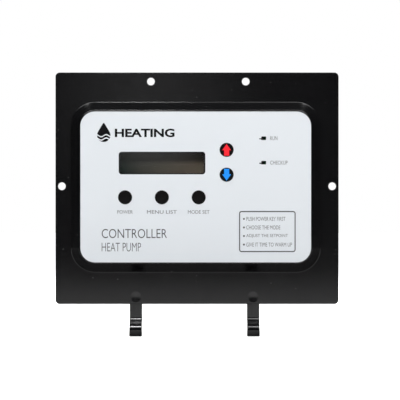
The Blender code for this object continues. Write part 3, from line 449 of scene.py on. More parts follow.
def ramp(tree, value, low, high, first=0.0, last=1.0, kind="LINEAR"):
    """A value carried from the range low to high to the range first to last."""
    return add(tree, "MapRange", {"interpolation_type": kind, "From Min": low, "From Max": high,
                                  "To Min": first, "To Max": last}, (("Value", value),)).outputs[0]


def surface_group():
    """Colour that drifts a little, roughness in patches, and a height of fine grain over slow waves."""
    group, given, out = new_group("moulded_surface", (
        ("Vector", "Vector", None), ("Colour", "Color", (0.5, 0.5, 0.5, 1)), ("Drift", "Float", 0.1),
        ("Patch Scale", "Float", 60.0), ("Roughness", "Float", 0.4), ("Roughness Drift", "Float", 0.06),
        ("Grain Scale", "Float", 3000.0), ("Grain", "Float", 0.3), ("Wave Scale", "Float", 25.0),
        ("Wave", "Float", 0.3),
    ), (("Colour", "Color"), ("Roughness", "Float"), ("Height", "Float")))
    source = given.outputs
    patch = noise(group, source["Vector"], source["Patch Scale"], Detail=4.0, Roughness=0.6)
    centred = maths(group, "SUBTRACT", patch, 0.5)
    drift = maths(group, "MULTIPLY_ADD", centred, source["Drift"], 1.0)
    colour = add(group, "VectorMath", {"operation": "SCALE"}, ((0, source["Colour"]), ("Scale", drift)))
    rough = maths(group, "MULTIPLY_ADD", centred, source["Roughness Drift"], source["Roughness"])
    grain = noise(group, source["Vector"], source["Grain Scale"], Detail=3.0, Roughness=0.55)
    wave = noise(group, source["Vector"], source["Wave Scale"], Detail=2.0, Roughness=0.5)
    fine = maths(group, "MULTIPLY", grain, source["Grain"])
    height = maths(group, "MULTIPLY_ADD", wave, source["Wave"], fine)
    group.links.new(colour.outputs[0], out.inputs["Colour"])
    group.links.new(rough, out.inputs["Roughness"])
    group.links.new(height, out.inputs["Height"])
    return group


def scuff_group():
    """A mask of fine hairlines: stretched noise, kept only where it passes a threshold and a patchy
    mask."""
    group, given, out = new_group("hairlines", (
        ("Vector", "Vector", None), ("Turn", "Float", 0.4), ("Scale", "Float", 30.0), ("Amount", "Float",
                                                                                       0.5),
    ), (("Mask", "Float"),))
    source = given.outputs
    turn = add(group, "VectorRotate", {"rotation_type": "Y_AXIS"},
               (("Vector", source["Vector"]), ("Angle", source["Turn"])))
    stretch = add(group, "VectorMath", {"operation": "MULTIPLY", 1: (1.0, 1.0, 45.0)},
                  ((0, turn.outputs[0]),))
    lines = noise(group, stretch.outputs[0], source["Scale"], Detail=3.0, Roughness=0.7, Distortion=0.3)
    sharp = ramp(group, lines, 0.66, 0.74)
    patch = noise(group, source["Vector"], source["Scale"], Detail=2.0)
    both = maths(group, "MULTIPLY", sharp, ramp(group, patch, 0.5, 0.62))
    group.links.new(maths(group, "MULTIPLY", both, source["Amount"]), out.inputs["Mask"])
    return group


def dust_group():
    """A mask of small specks: cells whose distance from their point is under a size that varies by cell."""
    group, given, out = new_group("dust_specks", (
        ("Vector", "Vector", None), ("Scale", "Float", 260.0), ("Amount", "Float", 0.5),
    ), (("Mask", "Float"),))
    source = given.outputs
    cells = add(group, "TexVoronoi", {"Randomness": 1.0},
                (("Vector", source["Vector"]), ("Scale", source["Scale"])))
    near = ramp(group, cells.outputs["Distance"], 0.05, 0.09, 1.0, 0.0)
    split = add(group, "SeparateColor", (), (("Color", cells.outputs["Color"]),))
    few = maths(group, "GREATER_THAN", split.outputs[0], 0.86)
    both = maths(group, "MULTIPLY", near, few)
    group.links.new(maths(group, "MULTIPLY", both, source["Amount"]), out.inputs["Mask"])
    return group


GROUPS = {"surface": surface_group(), "scuff": scuff_group(), "dust": dust_group()}
FINISHES = {}


def placed_group(tree, name, settings=(), links=()):
    node = tree.nodes.new("ShaderNodeGroup")
    node.node_tree = GROUPS[name]
    for socket, value in dict(settings).items():
        node.inputs[socket].default_value = value
    for socket, source in links:
        tree.links.new(source, node.inputs[socket])
    return node


def finish(name, colour, rough, metallic=0.0, drift=0.12, patch=60.0, rough_drift=0.1, grain_scale=2500.0,
           grain=0.3, wave_scale=25.0, wave=0.2, bump=0.02, scuffs=0.0, dust=0.0, dust_colour=(0.5, 0.5,
                                                                                               0.48),
           clear=False, shader_values=()):
    """A material built on the shared surface group, with hairlines and specks of dust where they are
    asked for. The colour, roughness and bump vary over the surface; what is even all over is set on the
    shader. A
    clear one casts no shadow, so that the lamps reach what is behind it."""
    if name in FINISHES:
        return FINISHES[name]
    made = bpy.data.materials.new(name)
    made.use_nodes = True
    tree = made.node_tree
    shader = tree.nodes["Principled BSDF"]
    shader.inputs["Metallic"].default_value = metallic
    for socket, value in dict(shader_values).items():
        shader.inputs[socket].default_value = value
    spot = add(tree, "TexCoord").outputs["Object"]
    surface = placed_group(tree, "surface", {
        "Colour": (*colour, 1.0), "Drift": drift, "Patch Scale": patch, "Roughness": rough,
        "Roughness Drift": rough_drift, "Grain Scale": grain_scale, "Grain": grain,
        "Wave Scale": wave_scale, "Wave": wave}, (("Vector", spot),))
    shade, roughness, height = (surface.outputs[key] for key in ("Colour", "Roughness", "Height"))
    if scuffs:
        lines = placed_group(tree, "scuff", {"Amount": scuffs}, (("Vector", spot),)).outputs["Mask"]
        roughness = maths(tree, "MULTIPLY_ADD", lines, 0.35, roughness)
        height = maths(tree, "MULTIPLY_ADD", lines, -0.4, height)
    if dust:
        specks = placed_group(tree, "dust", {"Amount": dust}, (("Vector", spot),)).outputs["Mask"]
        shade = add(tree, "Mix", {"data_type": "RGBA", 7: (*dust_colour, 1.0)},
                    ((0, specks), (6, shade))).outputs[2]
        roughness = maths(tree, "MULTIPLY_ADD", specks, 0.5, roughness)
    relief = add(tree, "Bump", {"Strength": 1.0, "Distance": bump * MM}, (("Height", height),))
    tree.links.new(shade, shader.inputs["Base Color"])
    tree.links.new(roughness, shader.inputs["Roughness"])
    tree.links.new(relief.outputs["Normal"], shader.inputs["Normal"])
    if clear:
        shadow = add(tree, "LightPath").outputs["Is Shadow Ray"]
        tree.links.new(maths(tree, "SUBTRACT", 1.0, shadow), shader.inputs["Alpha"])
    FINISHES[name] = made
    return made


def tint_display_and_paint_shade(left, right):
    """Let the unlit display drift from its left colour to its right one, and darken its upper half with
    painted shade, where the window's upper edge would shadow the recessed glass.
    """
    tree = FINISHES["display_glass"].node_tree
    surface = next(node for node in tree.nodes if node.type == "GROUP")
    low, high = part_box("lcd_glass")
    half = (low.z + high.z) / 2
    split = add(tree, "SeparateXYZ", (), ((0, add(tree, "TexCoord").outputs["Object"]),))
    across = ramp(tree, split.outputs[0], low.x + 3 * MM, high.x - 3 * MM)
    hue = add(tree, "Mix", {"data_type": "RGBA", 6: (*left, 1.0), 7: (*right, 1.0)}, ((0, across),))
    # Painted shade: the upper half is darkened as if the window's upper edge shadowed the recessed glass.
    rise = ramp(tree, split.outputs[2], half - 1.5 * MM, half + 3.5 * MM, 1.0, 0.3, "SMOOTHSTEP")
    tone_with_painted_shade = add(tree, "VectorMath", {"operation": "SCALE"}, ((0, hue.outputs[2]), ("Scale", rise)))
    tree.links.new(tone_with_painted_shade.outputs[0], surface.inputs["Colour"])


def colour_prop(name, default, description):
    return FloatVectorProperty(name=name, default=default, size=3, min=0, max=1, subtype="COLOR",
                               description=description)


def length_prop(name, millimetres, description):
    return FloatProperty(name=name, default=millimetres * MM, min=0, unit="LENGTH", precision=5,
                         description=description)


def power_prop(name, default, description):
    return FloatProperty(name=name, default=default, min=0, subtype="POWER", unit="POWER",
                         description=description)


class PanelFinishes(bpy.types.PropertyGroup):
    """Colours of the panel's own finishes."""
    bezel: colour_prop("Bezel", (0.0055, 0.0055, 0.006), "Glossy black of the moulding")
    face: colour_prop("Face", (0.775, 0.81, 0.845), "Pale cool grey of the printed sheet")
    key: colour_prop("Key", (0.004, 0.0036, 0.0036), "Black of the keys")
    red: colour_prop("Up arrow", (1.0, 0.008, 0.022), "Red of the up arrow")
    blue: colour_prop("Down arrow", (0.0, 0.29, 0.98), "Blue of the down arrow")
    black_ink: colour_prop("Black ink", (0.004, 0.004, 0.005), "Ink of the emblem and the heading")
    grey_ink: colour_prop("Grey ink", (0.075, 0.075, 0.082), "Ink of the title and the frame line")
    pale_ink: colour_prop("Pale ink", (0.15, 0.153, 0.158), "Ink of the small lettering")
    glass: colour_prop("Display glass", (0.012, 0.018, 0.016), "Unlit display at its left end")
    glass_right: colour_prop("Display glass, right", (0.095, 0.076, 0.058),
                             "Unlit display at its right end")
    board: colour_prop("Circuit board", (0.006, 0.075, 0.03), "Solder mask of the boards")


class MouldingSizes(bpy.types.PropertyGroup):
    """Sizes of the bezel's section, which the CAD solid leaves plain."""
    face_gap: length_prop("Face gap", 0.3, "Gap between the printed sheet and its recess")
    rim_width: length_prop("Rim width", 0.6, "Flat lip around the recess")
    rim_inner_radius: length_prop("Rim inner radius", 0.22, "Edge between the lip and the recess")
    rim_outer_radius: length_prop("Rim outer radius", 0.9, "Edge between the lip and the slope")
    slope_run: length_prop("Slope run", 6.7, "How far the platform's sides lean out")
    foot_radius: length_prop("Foot radius", 0.8, "Hollow between the slope and the flange")
    face_radius: length_prop("Face corner", 11.3, "Corner radius of the printed sheet")
    plate_radius: length_prop("Plate corner", 3.2, "Corner radius of the flange")
    plate_edge: length_prop("Plate edge", 0.5, "Rounded edge of the flange's front")
    wall_run: length_prop("Wall run", 3.7, "Thickness of the sloped wall, measured level")
    flange: length_prop("Flange", 3.0, "Thickness of the flange")
    deck: length_prop("Deck", 3.0, "Thickness of the deck behind the face")
    recess: length_prop("Recess", 1.1, "Depth of the face's recess below the lip")
    hook_step: length_prop("Hook step", 8.0, "How far forward a hook's lip stands")
    hook_thickness: length_prop("Hook thickness", 2.6, "Thickness of a hook")
    hook_arm: length_prop("Hook arm", 10.4, "Straight part of a hook below the flange")
    hook_bend: length_prop("Hook bend", 9.3, "Height of a hook's S-shaped part")
    hook_width: length_prop("Hook width", 9.7, "Width of a hook")


class PrintSizes(bpy.types.PropertyGroup):
    """Heights of the lettering on the face."""
    heading: length_prop("Heading", 6.6, "Height of the heading's capitals")
    title: length_prop("Title", 7.1, "Height of the title's first line")
    subtitle: length_prop("Subtitle", 6.7, "Height of the title's second line")
    label: length_prop("Key labels", 2.7, "Height of the labels under the keys")
    line: length_prop("Frame line", 0.85, "Thickness of the line around the notes")


class StageSetup(bpy.types.PropertyGroup):
    """The camera, floor and lights."""
    distance: FloatProperty(name="Camera distance", default=1.5, min=0.3, unit="LENGTH",
                            description="From the camera to the flange's rear face")
    view_width: FloatProperty(name="View width", default=0.3114, min=0.1, unit="LENGTH",
                              description="Width of the picture at the flange")
    floor_drop: length_prop("Floor gap", 0.4, "Air between the hooks and the floor")
    floor_front: FloatProperty(name="Floor front", default=1.27, min=0.5, unit="LENGTH",
                               description="How far the floor reaches in front of the panel")
    key_power: power_prop("Key lights", 8.9, "Each of the two large soft lights high in front")
    strip_power: power_prop("Overhead strip", 0.9, "Small bright light straight above the left half")
    fill_power: power_prop("Overhead fill", 0.22, "Weaker light straight above the right half")
    glow: FloatProperty(name="Glow", default=0.85, min=0,
                        description="Brightness of the patch that the flange's top mirrors")
    back_glow: FloatProperty(name="Back glow", default=0.8, min=0,
                             description="Brightness of the surround behind the panel")
    back_power: power_prop("Back lights", 6.5, "Each of the two soft lights behind the panel")


# ---------------------------------------------------------------- pieces

def hook_path(sizes, samples=28):
    """A hook's centre line in the YZ plane: straight down, half a cosine wave forward, straight down
    again."""
    rest = -sizes.flange / 2
    part = np.linspace(0, 1, samples)
    wave = np.stack((rest - sizes.hook_step * (1 - np.cos(np.pi * part)) / 2,
                     -PLATE_H / 2 - sizes.hook_arm - sizes.hook_bend * part), -1)
    top = np.array(((rest, -PLATE_H / 2 + 4 * MM), (rest, -PLATE_H / 2 + PAST),
                    (rest, wave[0, 1] + 2 * MM), (rest, wave[0, 1] + 0.3 * MM)))
    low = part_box("bezel")[0].z
    lip = np.array(((rest - sizes.hook_step, wave[-1, 1] - 0.3 * MM),
                    (rest - sizes.hook_step, low + 1.4 * MM), (rest - sizes.hook_step, low + 0.7 * MM)))
    return np.concatenate((top, wave, lip))


def bezel_shape(sizes):
    """The moulding as one skin: a section carried round the face's outline, then round the plate's own
    outline, and back to the pan behind the deck."""
    rim_out = sizes.face_gap + sizes.rim_width
    foot = rim_out + sizes.slope_run
    front = DECK_FRONT
    rim = front - sizes.recess
    deck_rear = front + sizes.deck
    flange = -sizes.flange
    slope = sizes.slope_run / (flange - rim)
    pan_foot = foot - sizes.wall_run + slope * sizes.flange
    pan_top = foot - sizes.wall_run - slope * (flange - deck_rear)
    upper = filleted(((-2 * MM, front, 0), (sizes.face_gap, front, 0.15 * MM),
                      (sizes.face_gap, rim, sizes.rim_inner_radius), (rim_out, rim, sizes.rim_outer_radius),
                      (foot, flange, sizes.foot_radius), (foot + 2.5 * MM, flange, 0)), 6)
    lower = filleted(((pan_foot + 1.5 * MM, 0, 0), (pan_foot, 0, 0.5 * MM), (pan_top, deck_rear, 1.0 * MM),
                      (pan_top - 3 * MM, deck_rear, 0)), 5)

    def face_loop(outset, level):
        flat = rounded_loop(FACE_W + 2 * outset, FACE_H + 2 * outset, sizes.face_radius + outset, 16)
        return stood(flat + FACE_PLACE, level)

    def plate_loop(inset, level):
        radius = max(sizes.plate_radius - inset, 0.4 * MM)
        return stood(rounded_loop(PLATE_W - 2 * inset, PLATE_H - 2 * inset, radius, 16), level)

    edge = sizes.plate_edge
    turn = np.radians(np.linspace(0, 90, 6))
    loops = [face_loop(*row) for row in upper]
    loops += [plate_loop(1.2 * MM, flange)]
    loops += [plate_loop(edge * (1 - math.sin(a)), flange + edge * (1 - math.cos(a))) for a in turn]
    loops += [plate_loop(0.3 * MM * (1 - math.sin(a)), -0.3 * MM * (1 - math.cos(a))) for a in turn[::-1]]
    loops += [plate_loop(1.2 * MM, 0)]
    loops += [face_loop(*row) for row in lower]
    return skin(loops)


def flared_hole(radius, low, high, flare, centre, steps=48):
    """A cutter for a round hole whose front edge is rounded: its radius grows by a quarter arc at the
    mouth."""
    turn = np.radians(np.linspace(0, 90, 5))
    mouth = [(radius + flare * (1 - math.cos(a)), low + flare * (1 - math.sin(a))) for a in turn[::-1]]
    section = [(0, low - PAST), (radius + 1.2 * flare, low - PAST)] + mouth + [(radius, high + PAST),
                                                                                  (0, high + PAST)]
    return turned(section, centre, "Y", steps)


def sink_mark(x, face):
    """A cutter for the shallow dip above a hook: its depth falls along half a cosine wave from its
    middle."""
    radius, depth, part = 5.0 * MM, 0.14 * MM, np.linspace(1, 0, 13)
    dip = np.stack((radius * part, face - 0.004 * MM + depth * (1 + np.cos(np.pi * part)) / 2), -1).tolist()
    return turned([(0, face - PAST), (radius, face - PAST)] + dip, (x, -84.4 * MM), "Y", 40)


def cabinet_holes():
    """Centres of the four holes in the flange, from the plate's edges."""
    top = PLATE_TOP - 7.0 * MM
    side = PLATE_W / 2 - 4.95 * MM
    return [(-35.85 * MM, top), (37.85 * MM, top), (-side, 1.6 * MM), (side, 1.6 * MM)]


class PANEL_OT_bezel(bpy.types.Operator):
    """Glossy black moulding with its flange, sloped platform, holes, bosses and hooks"""
    bl_idname = "panel.bezel"
    bl_label = "Bezel"

    def execute(self, context):
        sizes = context.scene.moulding_sizes
        front = DECK_FRONT
        deck_rear = front + sizes.deck
        hooks = [ribbon(hook_path(sizes), sizes.hook_width, sizes.hook_thickness, x, 0.7 * MM)
                 for x in HOOK_PLACES]
        bosses, pilots = [], []
        for group, radius, shank in (("board_screw", 3.5 * MM, 1.7 * MM),
                                     ("lcd_screw", 2.4 * MM, 1.3 * MM)):
            board = "control_board" if group == "board_screw" else "lcd_board"
            seat = front_of(board) - 0.3 * MM
            for number in range(1, 5):
                spot = place_of(f"{group}_{number}")
                section = filleted(((0, deck_rear - PAST, 0), (radius + 1.5 * MM, deck_rear - PAST, 0),
                                    (radius + 1.5 * MM, deck_rear, 0), (radius, deck_rear, 1 * MM),
                                    (radius, seat, 0.3 * MM), (0, seat, 0)), 4)
                bosses.append(turned(section, spot, "Y", 32))
                pilots.append(rod(shank, deck_rear + PAST, seat + PAST, spot))
        cuts = [flared_hole(3.0 * MM, -sizes.flange, 0, 0.35 * MM, spot) for spot in cabinet_holes()]
        cuts += [sink_mark(x, -sizes.flange) for x in HOOK_PLACES]
        for name in KEY_NAMES:
            cuts.append(flared_hole(KEY_HOLE_R, front, deck_rear, 0.2 * MM, place_of("key_" + name)))
        for name in LAMP_NAMES:
            cuts.append(slab((6.0 * MM, 3.3 * MM), 1.0 * MM, front - PAST, deck_rear + PAST, 0.05 * MM,
                             place_of("indicator_window_" + name)))
        lens = extent("display_window")
        seat = rear_of("display_window") + 0.3 * MM
        cuts.append(boxed((lens.x + 0.6 * MM, lens.z + 0.6 * MM), 3.5 * MM,
                          ((0, front - PAST), (0, seat), (1.5 * MM, seat), (1.5 * MM, deck_rear + PAST)),
                          WINDOW_PLACE))
        mesh = carved("bezel", bezel_shape(sizes), [
            ("UNION", joined(hooks + bosses)), ("DIFFERENCE", joined(cuts + pilots))])
        piece("bezel_moulding", flat_kept(mesh, 42), "black_gloss", "bezel_plastic", "bezel")
        return {"FINISHED"}


class PANEL_OT_face(bpy.types.Operator):
    """Pale printed sheet with openings for the window, the keys and the indicators"""
    bl_idname = "panel.face"
    bl_label = "Printed face"

    def execute(self, context):
        front, rear = FACE_FRONT, rear_of("graphic_overlay")
        cuts = []
        for name in KEY_NAMES:
            cuts.append(flared_hole(KEY_HOLE_R, front, rear, 0.08 * MM, place_of("key_" + name), 64))
        lens = extent("display_window")
        cuts.append(slab((lens.x - 2.4 * MM, lens.z - 2.4 * MM), 2.3 * MM, front - PAST, rear + PAST,
                         0.02 * MM, WINDOW_PLACE))
        for name in LAMP_NAMES:
            spot = middle("indicator_window_" + name)
            for width, height, x, z in ((3.7, 2.8, 0.8, 0.0), (3.4, 0.9, -1.0, -0.45)):
                cuts.append(slab((width * MM, height * MM), 0.4 * MM, front - PAST, rear + PAST, 0.02 * MM,
                                 (spot.x + x * MM, spot.z + z * MM)))
        radius = context.scene.moulding_sizes.face_radius
        blank = slab((FACE_W, FACE_H), radius, front, rear, 0.12 * MM, FACE_PLACE, "Y", 16)
        mesh = carved("face", blank, [("DIFFERENCE", joined(cuts))], crossing=True)
        piece("printed_face", flat_kept(mesh), "printed_sheet", "printed_overlay",
              "graphic_overlay")
        return {"FINISHED"}


def lettering(name, words, height, width, left, baseline, finish_name, weight=0.0):
    """Capitals stretched to a width and a height, as a thin layer of ink in front of the face."""
    drawn = bpy.data.curves.new(name, "FONT")
    drawn.body = words
    drawn.offset = weight
    drawn.resolution_u = 4
    drawn.extrude = 0.5
    obj = linked(name + "_outline", drawn)
    mesh = settled(obj)
    points = np.empty(len(mesh.vertices) * 3, np.float32)
    mesh.vertices.foreach_get("co", points)
    points = points.reshape(-1, 3).astype(float)
    low, high = points.min(axis=0), points.max(axis=0)
    part = (points - low) / (high - low)
    placed = np.stack((left + part[:, 0] * width, PRINT_REAR - part[:, 2] * INK,
                       baseline + part[:, 1] * height), -1)
    mesh.vertices.foreach_set("co", placed.astype(np.float32).ravel())
    work = bmesh.new()
    work.from_mesh(mesh)
    bmesh.ops.remove_doubles(work, verts=work.verts, dist=TINY)
    bmesh.ops.recalc_face_normals(work, faces=work.faces)
    work.to_mesh(mesh)
    work.free()
    piece(name, mesh, finish_name, "printed_overlay")


class PANEL_OT_print(bpy.types.Operator):
    """Emblem, heading, labels, title and boxed notes, all in plain generic words"""
    bl_idname = "panel.print"
    bl_label = "Lettering"

    def execute(self, context):
        sizes = context.scene.print_sizes
        lettering("heading", "HEATING", sizes.heading, 46.2 * MM, -63.6 * MM, 39.5 * MM, "black_ink", 0.034)
        self.emblem((-72.2 * MM, 43.0 * MM), 5.2 * MM)
        lettering("title", "CONTROLLER", sizes.title, 50.5 * MM, -73.75 * MM, -38.6 * MM, "grey_ink",
                  -0.004)
        lettering("subtitle", "HEAT PUMP", sizes.subtitle, 30.4 * MM, -73.75 * MM, -48.9 * MM, "grey_ink",
                  -0.01)
        for key, words, width in (("power", "POWER", 12.0), ("menu", "MENU LIST", 23.0),
                                  ("mode", "MODE SET", 16.7)):
            spot = middle("key_" + key)
            lettering("label_" + key, words, sizes.label, width * MM, spot.x - width * MM / 2,
                      -19.7 * MM, "pale_ink")
        for name, words, width in (("on", "RUN", 5.6), ("service", "CHECKUP", 13.5)):
            spot = middle("indicator_window_" + name)
            lettering("label_" + name, words, 3.0 * MM, width * MM, 56.6 * MM, spot.z - 1.5 * MM,
                      "pale_ink")
        self.notes(sizes)
        return {"FINISHED"}

    def emblem(self, centre, radius):
        """A water drop: a circle whose upper half is drawn up to a point, with a wave cut out of it."""
        turn = np.linspace(0, 2 * np.pi, 72, endpoint=False)
        lift = np.clip(np.sin(turn), 0, 1) ** 3
        flat = np.stack((radius * np.cos(turn) * (1 - 0.55 * lift), radius * (np.sin(turn) + 0.85 * lift)),
                        -1)
        flat += np.array(centre) - (0, 0.38 * radius)
        front = PRINT_REAR
        drop = skin([stood(flat, front - INK), stood(flat, front)])
        across = np.linspace(-1.4 * radius, 1.4 * radius, 40)
        crest = 0.16 * radius * np.sin(across / radius * 4.2)
        cuts = []
        for shift in (-0.95, -0.45):
            middle_line = centre[1] + shift * radius + crest
            band = np.concatenate((np.stack((centre[0] + across, middle_line + 0.09 * radius), -1),
                                   np.stack((centre[0] + across, middle_line - 0.09 * radius), -1)[::-1]))
            cuts.append(skin([stood(band, front - PAST), stood(band, front + PAST)]))
        mesh = carved("emblem", drop, [("DIFFERENCE", joined(cuts))])
        piece("emblem", mesh, "black_ink", "printed_overlay")

    def notes(self, sizes):
        """A ruled box with four short lines of words, each after a round mark."""
        centre, size, corner, line = (54.4 * MM, -33.5 * MM), (43.8 * MM, 31.8 * MM), 2.0 * MM, sizes.line
        front = PRINT_REAR
        outer = rounded_loop(*size, corner) + np.array(centre)
        inner = rounded_loop(size[0] - 2 * line, size[1] - 2 * line, corner - line) + np.array(centre)
        frame_line = ring(outer, inner, front, front - INK)
        piece("notes_frame", mesh_of("notes_frame", frame_line), "grey_ink", "printed_overlay")
        notes = (("PUSH POWER KEY FIRST", 30.3), ("CHOOSE THE MODE", 26.3), ("ADJUST THE SETPOINT", 32.2),
                 ("GIVE IT TIME TO WARM UP", 35.4))
        for row, (words, width) in enumerate(notes):
            level = -23.7 * MM - row * 6.64 * MM
            lettering(f"note_{row + 1}", words, 3.1 * MM, width * MM, 38.1 * MM, level - 1.55 * MM,
                      "pale_ink")
            mark = rod(0.75 * MM, front, front - INK, (36.3 * MM, level))
            piece(f"note_mark_{row + 1}", mesh_of("mark", mark), "grey_ink",
                  "printed_overlay")


class PANEL_OT_keys(bpy.types.Operator):
    """Five round keys with their plungers, and the arrows printed on two of them"""
    bl_idname = "panel.keys"
    bl_label = "Keys"

    def execute(self, context):
        for name in KEY_NAMES:
            node = "key_" + name
            low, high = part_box(node)
            spot = middle(node)
            flange_r = (high.x - low.x) / 2
            cap_r = flange_r - 1.6 * MM
            flange = front_of("lcd_frame")
            section = filleted(((0, low.y, 0), (cap_r, low.y, 0.45 * MM), (cap_r, flange, 0.1 * MM),
                                (flange_r, flange, 0.2 * MM), (flange_r, flange + 1.2 * MM, 0.2 * MM),
                                (2.1 * MM, flange + 1.2 * MM, 0.5 * MM), (2.1 * MM, high.y, 0.2 * MM),
                                (0, high.y, 0)), 5)
            slot = ARROW_SLOTS.get(name, "key_plastic")
            piece(f"{name}_key_cap", smoothed(mesh_of(node, turned(section, (spot.x, spot.z), "Y", 64))),
                  "key_black", slot, node, body=name + "_key")
            if name in ARROW_SLOTS:
                self.arrow(name, spot, low.y, 1 if name == "up" else -1)
        return {"FINISHED"}

    def arrow(self, name, spot, level, way):
        """A solid arrow: a triangular head on a straight stem, mirrored for the other way."""
        head, neck, tip, tail, shoulder = 3.45 * MM, 2.0 * MM, 4.55 * MM, -4.5 * MM, -0.3 * MM
        half = ((0, tip), (head, shoulder), (neck, shoulder), (neck, tail))
        flat = np.array(half + tuple((-x, z) for x, z in half[:0:-1])) * (1, way)
        flat += np.array((spot.x, spot.z))
        front = level - TOUCH
        shape = skin([stood(flat, front - INK), stood(flat, front)])
        piece(f"{name}_arrow", mesh_of("arrow", shape), name + "_arrow", ARROW_SLOTS[name],
              body=name + "_key")


class PANEL_OT_display(bpy.types.Operator):
    """Display window with a thin black border ring behind its lens, and the stamped frame, glass and
    backlight behind it
    """
    bl_idname = "panel.display"
    bl_label = "Display"

    def execute(self, context):
        low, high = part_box("display_window")
        size = (high.x - low.x, high.z - low.z)
        centre = WINDOW_PLACE
        lens = slab(size, 3.2 * MM, low.y, high.y, 0.1 * MM, centre)
        piece("window_lens", flat_kept(mesh_of("lens", lens)), "clear_acrylic",
              "clear_window", "display_window")
        rear = high.y + TOUCH
        outer = rounded_loop(size[0], size[1], 3.2 * MM) + np.array(centre)
        inner = rounded_loop(size[0] - 4.4 * MM, size[1] - 4.2 * MM, 1.6 * MM) + np.array(centre)
        # The ring's opening is shifted right and down, so the black ring is wider at its left and top.
        inner += np.array((0.35 * MM, -0.15 * MM))
        border = ring(outer, inner, rear, rear + INK)
        piece("window_border", mesh_of("border", border), "black_ink", "clear_window")
        for name in LAMP_NAMES:
            node = "indicator_window_" + name
            low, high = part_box(node)
            spot = middle(node)
            shape = slab((high.x - low.x, high.z - low.z), 0.7 * MM, low.y, high.y, 0.08 * MM,
                         (spot.x, spot.z))
            piece(name + "_window_lens", flat_kept(mesh_of(node, shape)), "clear_acrylic",
                  "clear_window", node)
        piece("display_frame", refined("lcd_frame", 0.12 * MM), "black_steel",
              "stamped_steel", "lcd_frame")
        repaint("lcd_glass", "display_glass")
        repaint("lcd_backlight", "light_guide")
        return {"FINISHED"}


def route(start, end, lead, sideways=True):
    """A track's corners: straight out for its lead, then at 45 degrees until level with its end, then
    straight."""
    start, end = np.array(start, float), np.array(end, float)
    out, level = (0, 1) if sideways else (1, 0)
    way = math.copysign(1, end[out] - start[out])
    first, second = start.copy(), end.copy()
    first[out] += way * lead
    second[out] = first[out] + way * abs(end[level] - start[level])
    return [start, first, second, end]


def ruled_box(size, centre, line, low, high):
    """A rectangular frame line: an outer outline, and an inner one a line's width inside it."""
    outer = rounded_loop(*size, 0.4 * MM, 3) + np.array(centre)
    inner = rounded_loop(size[0] - 2 * line, size[1] - 2 * line, 0.2 * MM, 3) + np.array(centre)
    return ring(outer, inner, low, high)


